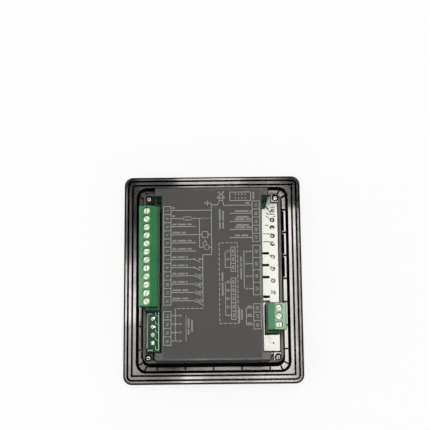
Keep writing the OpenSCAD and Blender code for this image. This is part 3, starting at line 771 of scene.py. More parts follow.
def plug_rows(node: str, count: int) -> np.ndarray:
    """Heights of a plug's rows, spaced evenly about the middle of its clamp screws.

    Args:
        node: Node of the clamp screws.
        count: Number of rows.

    Returns:
        Array of shape (count,), from the top down.
    """
    low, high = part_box(node)
    return (low.y + high.y) / 2 / MM + PITCH * ((count - 1) / 2 - np.arange(count))


def spaced(first: float, count: int, pitch: float = PITCH) -> np.ndarray:
    """Heights of a row of positions, counted downwards from the first."""
    return first - np.arange(count) * pitch


def cut_box(sides: tuple[float, float], y: float, height: float) -> np.ndarray:
    """Outline of a flat box with cut corners, as a fuse is drawn.

    Args:
        sides: Left and right side.
        y: Middle along Y.
        height: Height of the box.

    Returns:
        Array of shape (8, 2, 2).
    """
    left, right = sides
    h, c = height / 2, height / 4
    corners = [(left + c, y - h), (right - c, y - h), (right, y - h + c), (right, y + h - c),
               (right - c, y + h), (left + c, y + h), (left, y + h - c), (left, y - h + c)]
    return path(corners, closed=True)


@dataclass
class DeckLabel:
    """Printed film on the deck: numbered boxes beside the terminals and a plain wiring diagram."""

    film: tuple[float, float] = (59.5, 103.2)
    film_corner: float = 0.8
    film_t: float = 0.12
    film_edge: float = 0.04
    film_sunk: float = 0.02
    ink_t: float = 0.03
    line_w: float = 0.36
    thin_w: float = 0.24
    dot_r: float = 0.55
    word_h: float = 1.0
    word_space: float = 0.8
    word_in: float = 0.9
    word_rise: float = 1.35
    left_box: tuple[float, float] = (-29.6, -25.1)
    right_box: tuple[float, float] = (25.0, 29.4)
    bus_x: float = -0.2
    step_x: float = -5.7
    # Rows of the long plug: what each ends in, and the bars of its words
    short_x: float = -10.0
    fuse: tuple[float, float] = (-17.6, -12.3)
    fuse_h: float = 1.9
    contact: tuple[float, float, float, float] = (-5.4, -4.6, -2.0, -1.2)
    contact_r: float = 0.9
    contact_drop: float = 0.4
    square: tuple[float, float] = (-6.0, -2.4)
    switch_x: tuple[float, float] = (-10.8, -7.5)
    switch_arm: tuple[float, float] = (3.5, -1.8)
    sender_x: tuple[float, float] = (-9.7, -7.2)
    sender_r: float = 1.05
    sender_arm: tuple[float, float] = (2.8, -2.3)
    row_words: tuple[tuple[float, ...], ...] = (
        (), (), (2.6, 5.0, 2.6), (5.0, 2.4), (2.6, 5.0, 2.6), (2.6, 5.0, 2.6),
        *((2.6, 4.2, 0.9),) * 4, *((5.2, 3.6),) * 2)
    tag: float = 1.5
    # Common line: its top, its step, its ground mark, its branch to the pump and its dashed end
    bus_rise: float = 4.4
    bus_mid: float = 11.2
    bus_drop: float = 1.0
    ground: tuple[tuple[float, float], ...] = ((-2.5, 1.4), (-3.4, 0.8), (-4.2, 0.3))
    branch_x: float = -7.6
    pump: tuple[float, float] = (-3.2, 15.8)
    pump_r: float = 1.5
    hook: tuple[tuple[float, float], ...] = ((-5.4, 15.8), (-5.4, 18.6), (-4.2, 19.4))
    lead: tuple[tuple[float, float], ...] = ((-3.4, 19.3), (-4.6, 20.6))
    bus_gap: float = 0.8
    bus_dash: float = 2.4
    dash_y: float = -21.6
    shield_x: float = -22.5
    shield_dash: tuple[float, float] = (2.8, 2.6)
    shield_share: float = 0.7
    # Four current inputs below: distance under the last row, ends of their lines and words, and their bracket
    input_drop: float = 8.95
    input_x: tuple[float, float] = (-20.9, -20.1)
    input_word: float = 1.3
    bracket_x: float = -16.0
    bracket_over: float = 0.3
    # Boxes on the right: first rows, starts of their lines and words, and their forks
    upper_first: float = 41.9
    wide_first: float = 12.95
    upper_x: tuple[float, float] = (11.2, 14.2)
    upper_words: tuple[tuple[float, ...], ...] = ((8.6, 1.2), (6.0, 3.6), (6.4, 3.2), (3.0, 4.4))
    second_word: tuple[float, float, float] = (15.2, 2.75, 7.6)
    first_word: tuple[float, float, float] = (20.9, 1.4, 2.6)
    wide_fork: tuple[float, float, float] = (19.5, 0.4, 0.2)
    wide_x: tuple[float, float] = (22.3, 20.5)
    wide_word: float = 1.2
    low_fork_x: float = 20.5
    low_word: tuple[float, float, float] = (21.2, 1.0, 2.4)
    # Machine mark, service socket, dashed frame of the modules, and words that run down: x, y and their bars
    machine: tuple[tuple[tuple[float, float], ...], ...] = (
        ((-0.2, 42.3), (3.8, 42.3), (4.7, 44.6), (4.7, 47.6)), ((7.4, 41.9), (6.9, 44.6), (6.9, 47.6)),
        ((3.4, 46.6), (8.2, 46.6)), ((4.6, 45.0), (7.0, 45.0)), ((3.9, 50.4), (7.7, 47.6)),
        ((3.9, 50.4), (4.8, 50.4)), ((7.7, 50.4), (3.9, 47.6)), ((7.7, 50.4), (6.8, 50.4)))
    socket: tuple[float, float, float, float] = (11.3, 24.2, 44.8, 50.2)
    socket_x: tuple[float, ...] = (14.8, 16.8, 18.8, 20.8)
    socket_y: tuple[float, float] = (46.3, 48.8)
    socket_half: float = 0.35
    frame: tuple[tuple[float, float], ...] = ((4.4, -30.9), (15.6, -30.9), (15.6, 18.4), (4.4, 18.4))
    frame_dash: float = 3.1
    module_box: tuple[float, float] = (11.5, 14.2)
    module_rows: tuple[tuple[float, int], ...] = ((13.3, 3), (-5.8, 5))
    module_pitch: float = 5.05
    module_half: float = 2.5
    module_link: float = 8.0
    winding: tuple[float, float, float, float] = (8.7, 9.3, 9.7, 10.4)
    winding_r: float = 0.8
    module_word: tuple[float, float] = (12.85, 0.7)
    down_words: tuple[tuple[float, float, tuple[float, ...]], ...] = (
        (-14.5, -27.6, (5.6, 3.4)), (-12.4, -28.4, (7.2,)), (17.7, 9.8, (3.2, 2.2, 7.0)),
        (17.8, -22.6, (6.2,)), (16.2, -21.4, (9.4,)), (5.0, 39.6, (7.4, 4.2)), (7.0, 38.4, (6.2, 4.2)),
        (25.9, 50.2, (4.6,)), (6.3, 0.4, (5.6, 8.2)))
    digits: Digits = field(default_factory=Digits)
    lines: list[np.ndarray] = field(default_factory=list)
    thin: list[np.ndarray] = field(default_factory=list)
    words: list[np.ndarray] = field(default_factory=list)
    dots: list[tuple[float, float]] = field(default_factory=list)

    def __post_init__(self) -> None:
        """Take the deck's height and the rows of terminals from the frame."""
        self.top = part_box("rear_housing")[1].z / MM
        self.left_rows = plug_rows("clamp_screws_left", 12)
        self.right_rows = plug_rows("clamp_screws_right", 3)

    def draw(self, *corners: tuple[float, float], closed: bool = False) -> None:
        """Draw straight lines from corner to corner."""
        self.lines.append(path(corners, closed))

    def level(self, y: float, *ends: float) -> None:
        """Draw one line along X between two ends."""
        self.draw(*((x, y) for x in ends))

    def upright(self, x: float, *ends: float) -> None:
        """Draw one line along Y between two ends."""
        self.draw(*((x, y) for y in ends))

    def box(self, left: float, right: float, low: float, high: float) -> None:
        """Draw a rectangle."""
        self.draw((left, low), (right, low), (right, high), (left, high), closed=True)

    def boxes(self, sides: tuple[float, float], middles: np.ndarray, pitch: float, number: int) -> None:
        """Draw a column of numbered boxes.

        Args:
            sides: Left and right side.
            middles: Middle of each box along Y.
            pitch: Height of a box.
            number: First number.
        """
        self.box(*sides, middles[-1] - pitch / 2, middles[0] + pitch / 2)
        for middle in middles[1:]:
            self.level(middle + pitch / 2, *sides)
        for i, middle in enumerate(middles):
            self.thin.append(self.digits.lines(str(number + i), (sum(sides) / 2, middle), -90))

    def word(self, x: float, y: float, *lengths: float, down: bool = False) -> None:
        """Draw a line of words as plain bars.

        Args:
            x: Start of the first bar along X.
            y: Start of the first bar along Y.
            lengths: Length of each bar.
            down: True for words that run down the label.
        """
        at = np.array([x, y])
        run = np.array([0.0, -1.0]) if down else np.array([1.0, 0.0])
        for length in lengths:
            inset = run * self.word_h / 2
            self.words.append(np.array([[at + inset, at + run * length - inset]]))
            at = at + run * (length + self.word_space)

    def left_side(self) -> None:
        """Draw the twelve rows of the long plug, with the switches and senders that they end in."""
        rows, start = self.left_rows, self.left_box[1]
        self.boxes(self.left_box, rows, PITCH, 1)
        self.level(rows[0], start, self.bus_x)
        self.dots.append((self.bus_x, rows[0]))
        near, *arches, far = self.contact
        for ends in ((start, self.fuse[0]), (self.fuse[1], near), (far, self.bus_x)):
            self.level(rows[1], *ends)
        self.lines.append(cut_box(self.fuse, rows[1], self.fuse_h))
        self.lines += [arc((x, rows[1] - self.contact_drop), self.contact_r, 20, 160, 5) for x in arches]
        for y in rows[[2, 4, 5]]:
            self.level(y, start, self.short_x)
        left, right = self.square
        half = (right - left) / 2
        self.box(left, right, rows[3] - half, rows[3] + half)
        self.level(rows[3], start, left)
        self.level(rows[3], right, self.bus_x)
        for y in rows[6:8]:
            self.switch(y)
        for y in rows[8:]:
            self.sender(y)
        for y in rows[:2]:
            self.word(start + self.word_in, y + self.tag, self.tag)
        for y, parts in zip(rows, self.row_words):
            self.word(start + self.word_in, y + self.word_rise, *parts)

    def switch(self, y: float) -> None:
        """Draw one row that ends in an open switch.

        Args:
            y: Height of the row.
        """
        near, far = self.switch_x
        self.level(y, self.left_box[1], near)
        self.level(y, far, self.step_x)
        self.draw((near, y), (near + self.switch_arm[0], y + self.switch_arm[1]))
        self.dots += [(near, y), (far, y)]

    def sender(self, y: float) -> None:
        """Draw one row that ends in a sender: a ring, a diamond and a slanting stroke.

        Args:
            y: Height of the row.
        """
        (ring, diamond), r = self.sender_x, self.sender_r
        self.level(y, self.left_box[1], ring - r)
        self.lines.append(arc((ring, y), r, steps=10))
        self.draw((diamond - r, y), (diamond, y - r), (diamond + r, y), (diamond, y + r), closed=True)
        self.draw((ring, y), (ring + self.sender_arm[0], y + self.sender_arm[1]))
        self.level(y, diamond + r, self.step_x)

    def bus(self) -> None:
        """Draw the common line with its ground mark, its branch and its dashed end."""
        top, low = self.left_rows[0] + self.bus_rise, self.left_rows[-1] - self.bus_drop
        bus, step, mid = self.bus_x, self.step_x, self.bus_mid
        self.draw((bus, top), (bus, mid), (step, mid), (step, low))
        self.lines.append(dashes((step, low - self.bus_gap), (step, self.dash_y), self.bus_dash))
        self.lines.append(dashes((step, self.dash_y), (self.shield_x, self.dash_y), self.shield_dash[0]))
        self.level(top, bus, self.ground[0][0])
        for x, half in self.ground:
            self.upright(x, top - half, top + half)
        (x, y), r = self.pump, self.pump_r
        self.draw((self.branch_x, self.left_rows[1]), (self.branch_x, y), *self.hook)
        self.lines.append(arc(self.pump, r, steps=12))
        self.level(y, x + r, bus)
        self.draw((x, y + r), *self.lead)

    def lower_left(self) -> None:
        """Draw the four current inputs below the dashed line."""
        middles = spaced(self.left_rows[-1] - self.input_drop, 4)
        self.boxes(self.left_box, middles, PITCH, 13)
        for y in middles:
            self.level(y, self.left_box[1], self.input_x[0])
            self.word(self.input_x[1], y, self.input_word)
        shield = (self.shield_x, self.dash_y), (self.shield_x, middles[-1])
        self.lines.append(dashes(*shield, self.shield_dash[1], self.shield_share))
        ends = middles[0] + self.bracket_over, middles[-1] - self.bracket_over
        self.thin.append(path([(self.bracket_x, y) for y in ends]))

    def right_side(self) -> None:
        """Draw the numbered boxes on the right, their rows of words and their forks."""
        upper, wide = spaced(self.upper_first, 5), spaced(self.wide_first, 4, WIDE_PITCH)
        low = self.right_rows
        for middles, pitch, number in ((upper, PITCH, 17), (wide, WIDE_PITCH, 22), (low, PITCH, 26)):
            self.boxes(self.right_box, middles, pitch, number)
        end = self.right_box[0]
        self.level(upper[0], self.machine[1][0][0], end)
        x, rise, length = self.first_word
        self.word(x, upper[0] + rise, length)
        for y, parts in zip(upper[1:], self.upper_words):
            self.level(y, self.upper_x[0], end)
            self.word(self.upper_x[1], y + self.word_rise, *parts)
        x, rise, length = self.second_word
        for y in upper[2:4]:
            self.word(x, y + rise, length)
        x, over, under = self.wide_fork
        self.upright(x, wide[0] + over, wide[-1] + under)
        for y in wide:
            self.level(y, self.wide_x[0], end)
            self.word(self.wide_x[1], y, self.wide_word)
        self.upright(self.low_fork_x, low[0], low[-1])
        x, rise, length = self.low_word
        for y in low:
            self.level(y, self.low_fork_x, end)
            self.word(x, y + rise, length)

    def marks(self) -> None:
        """Draw the machine mark, the service socket's outline and the words that run down."""
        for corners in self.machine:
            self.draw(*corners)
        self.box(*self.socket)
        for x in self.socket_x:
            for y in self.socket_y:
                self.upright(x, y - self.socket_half, y + self.socket_half)
        for x, y, parts in self.down_words:
            self.word(x, y, *parts, down=True)

    def modules(self) -> None:
        """Draw the dashed frame with its two columns of small boxes."""
        for a, b in zip(self.frame, self.frame[1:] + self.frame[:1]):
            self.lines.append(dashes(a, b, self.frame_dash))
        link, half, r = self.module_link, self.module_half, self.winding_r
        near, second, first, far = self.winding
        x, reach = self.module_word
        for start, count in self.module_rows:
            middles = spaced(start, count, self.module_pitch)
            self.box(*self.module_box, middles[-1] - half, middles[0] + half)
            for middle in middles[1:]:
                self.level(middle + half, *self.module_box)
            self.upright(link, middles[0], middles[-1])
            for middle in middles[:-1]:
                self.level(middle, link, near)
                self.lines += [arc((first, middle), r, 120, 240, 4), arc((second, middle), r, -60, 60, 4)]
                self.level(middle, far, self.module_box[0])
            self.level(middles[-1], link, self.module_box[0])
            self.words.extend(np.array([[(x, m - reach), (x, m + reach)]]) for m in middles)

    def build(self) -> None:
        """Make the film, the line ink and the word ink."""
        for draw in (self.left_side, self.bus, self.lower_left, self.right_side, self.marks, self.modules):
            draw()
        face = self.top + self.film_t
        film = plate(rounded(*self.film, self.film_corner), (0, 0), self.top - self.film_sunk, face,
                     self.film_edge)
        film.piece("deck_label", LABEL_FILM, slot="film_grey")
        low, high = face - SUNK, face + self.ink_t
        drawn = [bars(np.concatenate(self.lines), self.line_w, low, high),
                 bars(np.concatenate(self.thin), self.thin_w, low, high),
                 discs(np.array(self.dots), self.dot_r, low, high, 12)]
        Surface.join(drawn).piece("deck_line_ink", LINE_INK)
        bars(np.concatenate(self.words), self.word_h, low, high).piece("deck_word_ink", WORD_INK)


@dataclass
class BoardDressing:
    """Print, tracks and solder on the two strips of the main board that show beside the deck."""

    ink_t: float = 0.03
    track_t: float = 0.018
    gap_t: float = 0.012
    line_w: float = 0.4
    wide_w: float = 0.55
    track_w: float = 0.9
    seed: int = 7
    # Bare pads: their places, and the sides of the left bay and of the strip of painted shade beside it
    pad_x: float = 37.6
    left_first: float = -25.86
    upper_first: float = 41.9
    wide_first: float = 12.98
    bay: tuple[float, float, float, float] = (-41.4, -34.25, -45.6, -23.2)
    bay_shade: tuple[float, float, float, float] = (-33.75, -31.8, -46.4, -22.9)
    # Solder: a dome in each left hole, with white lobes of painted highlight on it (pad, place on it,
    # radius), and level fills on the right
    steep: float = 0.7
    dome_r: float = 1.55
    dome_h: float = 0.4
    dome_lean: float = 0.9
    lobe_h: float = 0.45
    lobe_rise: float = 0.3
    lobes: tuple[tuple[int, float, float, float], ...] = (
        (0, -1.1, -0.1, 0.6), (0, 0.0, -0.05, 0.62), (0, 0.9, 0.45, 0.35),
        (1, -1.2, -0.15, 0.5), (1, -0.4, 0.1, 0.55), (1, 0.6, 0.55, 0.62),
        (2, -0.1, 0.03, 1.45),
        (3, -0.95, 0.1, 0.6), (3, 0.35, 0.9, 0.55), (3, 0.55, 0.1, 0.5), (3, 0.35, -0.75, 0.6))
    level_r: float = 1.15
    level_h: float = 0.08
    level_edge: float = 0.1
    level_shoulder: float = 0.08
    level_lean: float = 0.7
    fill_run: tuple[float, float] = (0.45, -0.2)
    # Painted dark reflection round the right pads' solder: each arc's ends in degrees and its width, and the
    # runs to two of them
    dark_rim_r: float = 1.1
    dark_rim_h: float = 0.2
    dark_rim_arcs: tuple[tuple[float, float, float], ...] = (
        (20, 160, 0.4), (-175, 175, 0.6), (15, 165, 0.85), (-165, 165, 0.6), (100, 330, 0.7),
        (-60, 90, 0.4), (-120, 90, 0.4), (-150, 150, 0.4), (-80, 80, 0.36))
    dark_rim_leads: tuple[tuple[int, float], ...] = ((5, 2.0), (6, 1.6))
    dark_rim_run: tuple[float, float] = (0.8, -0.4)
    # Print: the pour that ends beside the left pads, the left connector's outline and a mark on the right
    pour_x: float = -36.15
    pour_steps: tuple[tuple[float, float], ...] = ((1.25, 1.6), (0.0, 2.1), (0.0, 3.5))
    pour_start: float = 1.3
    pour_end: tuple[float, float] = (-2.2, -4.0)
    head_line: tuple[float, float, float] = (0.1, 3.0, 0.3)
    foot_line: tuple[float, float, float] = (0.6, 3.2, 1.6)
    head_over: float = 1.2
    mark: tuple[float, float, float, float] = (33.2, 36.6, 47.4, 51.6)
    mark_rows: tuple[float, ...] = (48.6, 49.8, 51.0)
    mark_in: float = 0.7
    # Tracks from the left pads, and what looks dark: slots' edges, hatching, pole marks and holes
    track_steps: tuple[tuple[float, float], ...] = ((0.0, 0.0), (1.2, 0.0), (2.2, 1.0))
    track_end: float = -33.0
    slot_rows: tuple[float, ...] = (14.98, 7.36, -0.26, -12.78, -15.68)
    slot_x: tuple[float, float] = (32.0, 35.8)
    slot_half: float = 0.65
    slot_edge: float = 0.3
    hatch_w: float = 0.45
    hatch: tuple[tuple[float, float, float, float], ...] = (
        (34.2, 45.6, 36.0, 43.9), (34.9, 44.3, 36.6, 42.5), (34.6, 41.2, 36.3, 40.0),
        (34.5, 39.2, 36.4, 37.5), (38.0, 44.7, 40.1, 44.7), (37.9, 43.4, 40.0, 43.4),
        (39.3, 42.3, 39.9, 41.7), (37.0, 40.2, 39.9, 40.2), (39.0, 38.7, 40.4, 38.8),
        (33.8, 33.05, 35.8, 33.05))
    pole_x: tuple[float, float] = (32.8, 36.8)
    pole_rise: float = 0.8
    fine_w: float = 0.16
    fine_hatch: tuple[tuple[float, float, float, float], ...] = (
        (33.1, -35.9, 37.0, -40.1), (33.9, -38.6, 36.3, -41.9))
    via_r: float = 0.55
    via_x: float = -35.2
    via_drop: float = 2.4
    right_via: tuple[float, float] = (37.8, -41.9)

    def __post_init__(self) -> None:
        """Take the board's face from the frame."""
        self.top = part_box("main_board")[1].z / MM

    def pads(self) -> tuple[np.ndarray, np.ndarray]:
        """Places of the bare pads.

        Returns:
            Those on the left, and those on the right.
        """
        left = spaced(self.left_first, 4)
        right = np.concatenate([spaced(self.upper_first, 5), spaced(self.wide_first, 4, WIDE_PITCH)])
        return (np.column_stack([np.full(len(left), -self.pad_x), left]),
                np.column_stack([np.full(len(right), self.pad_x), right]))

    def mound(self, radius: float, height: float) -> np.ndarray:
        """Profile of a mound of solder, steep at its foot and round on top.

        Args:
            radius: Radius of its foot.
            height: Height of its crest.

        Returns:
            Array of shape (9, 2) with radius and height.
        """
        turn = np.radians(np.linspace(0, 90, 8))
        rise = np.stack([radius * np.cos(turn) ** self.steep, self.top + height * np.sin(turn)], axis=1)
        return np.concatenate([[[0, self.top]], rise])

    def level_fill(self) -> np.ndarray:
        """Profile of a level fill: a quarter-round edge, a shoulder and a flat top.

        Returns:
            Array of shape (11, 2) with radius and height.
        """
        turn = np.radians(np.linspace(0, 90, 8))
        inner, high = self.level_r - self.level_edge, self.top + self.level_h
        rise = self.top + self.level_h * np.sin(turn)
        edge = np.stack([inner + self.level_edge * np.cos(turn), rise], axis=1)
        return np.concatenate([[[0, self.top]], edge, [[inner - self.level_shoulder, high], [0, high]]])

    def solder(self) -> None:
        """Fill the left holes with domed solder under white lobes of painted highlight, and the right ones
        level, each run a little to one side.
        """
        random = np.random.default_rng(self.seed)
        left, right = self.pads()
        lean = random.uniform(-self.dome_lean, self.dome_lean, left.shape)
        domes = turned(self.mound(self.dome_r, self.dome_h), left, 24, lean=lean)
        domes.piece("solder_domes", BRIGHT_SOLDER, slot="pad_tin", smooth=True)
        lobes = [turned(self.mound(r, self.lobe_h + self.lobe_rise * r), left[pad] + [x, y], 20)
                 for pad, x, y, r in self.lobes]
        Surface.join(lobes).piece("solder_highlight_lobes", SOLDER_HIGHLIGHT, slot="pad_tin", smooth=True)
        lean = random.uniform(-self.level_lean, self.level_lean, right.shape)
        fills = turned(self.level_fill(), right + self.fill_run, 24, lean=lean)
        fills.piece("solder_fills", COATED_SOLDER, slot="pad_tin", smooth=True)

    def paint_dark_rims(self) -> None:
        """Paint dark arcs round the right pads, a painted dark reflection in the solder's rim."""
        low, high = self.top, self.top + self.dark_rim_h
        around = self.pads()[1] + self.dark_rim_run
        parts = [bars(arc(tuple(pad), self.dark_rim_r, start, end, 14), width, low, high)
                 for pad, (start, end, width) in zip(around, self.dark_rim_arcs)]
        for pad, length in self.dark_rim_leads:
            x, y = around[pad] + [0, self.dark_rim_r]
            parts.append(bars(path([(x - length, y), (x, y)]), self.dark_rim_arcs[pad][2], low, high))
        Surface.join(parts).piece("painted_dark_rim_arcs", PAINTED_DARK_RIM)

    def left_ink(self) -> tuple[list[np.ndarray], list[np.ndarray]]:
        """Print in the left bay: the pour that ends beside the pads, and the connector's broad outline.

        Returns:
            Lines of the pour and of the outline, each of shape (count, 2, 2).
        """
        left, right, foot, head = self.bay
        rows, pour = spaced(self.left_first, 4), self.pour_x
        start, end, rise = self.head_line
        drawn = [path([(left + start, head + rise), (left + end, head + rise)])]
        drawn += [path([(right, y + self.pour_start), *((pour + dx, y + dy) for dx, dy in self.pour_steps)])
                  for y in rows]
        drawn.append(path([*((pour, rows[-1] + dy) for dy in self.pour_end), (right, foot)]))
        start, end, rise = self.foot_line
        broad = [path([(left, head), (left, foot + rise)]), path([(left + start, foot), (left + end, foot)]),
                 path([(right, head + self.head_over), (right, foot)])]
        return drawn, broad

    def right_ink(self) -> list[np.ndarray]:
        """Outline at the head of the empty right connectors.

        Returns:
            Lines, each of shape (count, 2, 2).
        """
        left, right, low, high = self.mark
        drawn = [path([(left, low), (right, low), (right, high), (left, high)], closed=True)]
        return drawn + [path([(left + self.mark_in, y), (right - self.mark_in, y)]) for y in self.mark_rows]

    def print_ink(self) -> None:
        """Print both strips."""
        low, high = self.top - SUNK, self.top + self.ink_t
        drawn, broad = self.left_ink()
        ink = [bars(np.concatenate(drawn), self.line_w, low, high),
               bars(np.concatenate(broad), self.wide_w, low, high)]
        Surface.join(ink).piece("board_ink", BOARD_INK)
        bars(np.concatenate(self.right_ink()), self.line_w, low, high).piece("board_dim_ink", DIM_INK)

    def tracks(self) -> None:
        """Draw wide tracks from the left pads."""
        runs = [path([*((x + dx, y + dy) for dx, dy in self.track_steps),
                      (self.track_end, y + self.track_steps[-1][1])]) for x, y in self.pads()[0]]
        tracks = bars(np.concatenate(runs), self.track_w, self.top - SUNK, self.top + self.track_t)
        tracks.piece("board_tracks", TRACK_GREEN, slot="board_green")

    def gaps(self) -> None:
        """Paint shade in the strip beside the bay, and darken the slots' edges, the hatching, the pole marks
        and the holes.
        """
        low, high = self.top - SUNK, self.top + self.gap_t
        left, right, foot, head = self.bay_shade
        beside = path([((left + right) / 2, foot), ((left + right) / 2, head)])
        edges = [path([(x, y + side) for x in self.slot_x])
                 for y in self.slot_rows for side in (-self.slot_half, self.slot_half)]
        poles = [path([(x, y + self.pole_rise) for x in self.pole_x]) for y in self.pads()[1][3:5, 1]]
        hatch = np.concatenate([np.array(self.hatch).reshape(-1, 2, 2), *poles])
        vias = [(self.via_x, y) for y in spaced(self.left_first - self.via_drop, 3)] + [self.right_via]
        dark = [bars(beside, right - left, low, self.top + self.ink_t),
                bars(np.concatenate(edges), self.slot_edge, low, high), bars(hatch, self.hatch_w, low, high),
                bars(np.array(self.fine_hatch).reshape(-1, 2, 2), self.fine_w, low, high),
                discs(np.array(vias), self.via_r, low, high, 14)]
        Surface.join(dark).piece("board_gaps_and_shade", DARK_BOARD_AND_SHADE)

    def build(self) -> None:
        """Make the solder with its painted highlights, the painted dark rims, the print, the tracks, and the
        gaps with the painted shade.
        """
        for make in (self.solder, self.paint_dark_rims, self.print_ink, self.tracks, self.gaps):
            make()


@dataclass
class CaseDetails:
    """Small forms of the case: round tops of the ribs, painted shade in the gap beside them and in the
    screws' recesses.
    """

    foot: tuple[float, float] = (45.5, 56.15)
    foot_r: float = 5.5
    rib: tuple[float, float] = (0.12, 3.02)
    rib_w: float = 0.95
    rib_z: tuple[float, float] = (11.3, 11.9)
    side_pitch: float = 15.0
    end_pitch: float = 17.9
    corner_turn: float = 18.0
    # Cells of painted shade in the gap between gutter and wall: middle along X, width, and ends along Y
    shade_cells: tuple[tuple[float, float, float, float], ...] = (
        (45.95, 1.15, 0.9, 14.1), (45.95, 1.15, 15.9, 29.1), (45.95, 1.15, 30.9, 44.1),
        (-45.78, 0.75, -29.1, -15.9), (-45.78, 0.75, -44.1, -30.9), (-45.78, 0.75, -50.4, -45.9))
    floor_z: float = 10.0
    gap_t: float = 0.05
    gap_sunk: float = 0.02
    gap_edge: float = 0.02
    gap_flat: float = 0.01
    # Case screws: a head, the recess round it with its mouth and its thin lining of painted shade, and the
    # cross of painted shade
    head_r: float = 1.5
    head_clear: float = 0.04
    recess_r: float = 1.97
    recess_z: float = 19.8
    boss_z: float = 22.2
    mouth_r: float = 2.3
    mouth_fall: float = 0.28
    mouth_rise: float = 0.03
    mouth_t: float = 0.02
    lining_t: float = 0.05
    lining_floor: float = 0.06
    cross: float = 1.7
    cross_w: float = 0.42
    cross_sunk: tuple[float, float] = (0.55, 0.12)

    def ribs(self) -> None:
        """Round the tops of the ribs across the gutter, along its sides, its ends and its corners."""
        x, y = self.foot
        along_side, along_end = np.arange(-3, 4) * self.side_pitch, np.arange(-2, 3) * self.end_pitch
        lines = [path([(s * (x + r), at) for r in self.rib]) for s in (-1, 1) for at in along_side]
        lines += [path([(at, s * (y + r)) for r in self.rib]) for s in (-1, 1) for at in along_end]
        reach = self.foot_r + np.array(self.rib)[:, None]
        for corner in (45, 135, 225, 315):
            sign = np.sign([math.cos(math.radians(corner)), math.sin(math.radians(corner))])
            for turn in np.radians([corner - self.corner_turn, corner + self.corner_turn]):
                way = np.array([[math.cos(turn), math.sin(turn)]])
                lines.append((sign * (np.array(self.foot) - self.foot_r) + reach * way)[None])
        tops = ridges(np.concatenate(lines), self.rib_w, *self.rib_z)
        tops.piece("gutter_rib_tops", BEZEL_GLOSS, slot="frame_black", smooth=True)

    def gap(self) -> None:
        """Lay matt black cells of painted shade between the gutter and the housing's wall."""
        under, over = self.floor_z - self.gap_sunk, self.floor_z + self.gap_t
        cells = [plate(rounded(width, high - low, width / 2 - self.gap_flat), (x, (low + high) / 2), under,
                       over, self.gap_edge) for x, width, low, high in self.shade_cells]
        Surface.join(cells).piece("gutter_painted_shade", SHADE_BLACK)

    def recesses(self) -> None:
        """Line the case screws' recesses with matt black painted shade, and paint shade into the cross of
        each head.
        """
        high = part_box("case_screws")[1]
        boss = np.array([high.x, high.y]) / MM - self.head_r
        centres = boss * np.array([[1, 1], [-1, 1], [-1, -1], [1, -1]])
        inner, skin = self.head_r + self.head_clear, self.recess_r - self.lining_t
        low, floor = self.recess_z, self.recess_z + self.lining_floor
        fall, rim = self.boss_z - self.mouth_fall, self.boss_z + self.mouth_rise
        lining = [[inner, low], [self.recess_r, low], [self.recess_r, fall], [self.mouth_r, rim],
                  [self.mouth_r + self.mouth_t, rim + self.mouth_t], [skin, fall + 2 * self.mouth_t],
                  [skin, floor], [inner, floor]]
        turned(lining, centres, 32, closed=True).piece("screw_recess_painted_shade", SHADE_BLACK)
        reach = (self.cross - self.cross_w) / 2
        arms = [path([at - way, at + way]) for at in centres for way in ((reach, 0), (0, reach))]
        heights = (high.z / MM - sunk for sunk in self.cross_sunk)
        bars(np.concatenate(arms), self.cross_w, *heights).piece("screw_cross_painted_shade", SHADE_BLACK)

    def build(self) -> None:
        """Make the rib tops, and the painted shade in the gap and in the recesses."""
        for make in (self.ribs, self.gap, self.recesses):
            make()


@dataclass
class ClampShade:
    """Painted shade in the slots of one plug's clamp screws, and in the holes round them."""

    plug: Body
    screws: str
    count: int
    first_turn: float
    step_turn: float
    shade: tuple[float, float]
    slot_reach: float = 1.4
    slot_w: float = 0.5
    slot_z: tuple[float, float] = (41.25, 41.75)
    hole_r: float = 1.93
    hole_w: float = 0.28
    hole_z: tuple[float, float] = (41.2, 42.3)

    def build(self) -> None:
        """Lay painted shade along each slot and along part of each hole."""
        low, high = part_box(self.screws)
        rows = plug_rows(self.screws, self.count)
        centres = np.stack([np.full(self.count, (low.x + high.x) / 2 / MM), rows], axis=1)
        turn = np.radians(self.first_turn + self.step_turn * np.arange(self.count))
        way = np.stack([-np.sin(turn), np.cos(turn)], axis=1) * self.slot_reach
        painted_slot_shade = bars(np.stack([centres - way, centres + way], axis=1), self.slot_w, *self.slot_z)
        painted_slot_shade.piece(f"{self.screws}_grime", SLOT_SHADE, self.plug)
        arcs = [arc(tuple(at), self.hole_r, *self.shade, 12) for at in centres]
        shade = bars(np.concatenate(arcs), self.hole_w, *self.hole_z)
        shade.piece(f"{self.screws}_shade", HOLE_SHADE, self.plug)


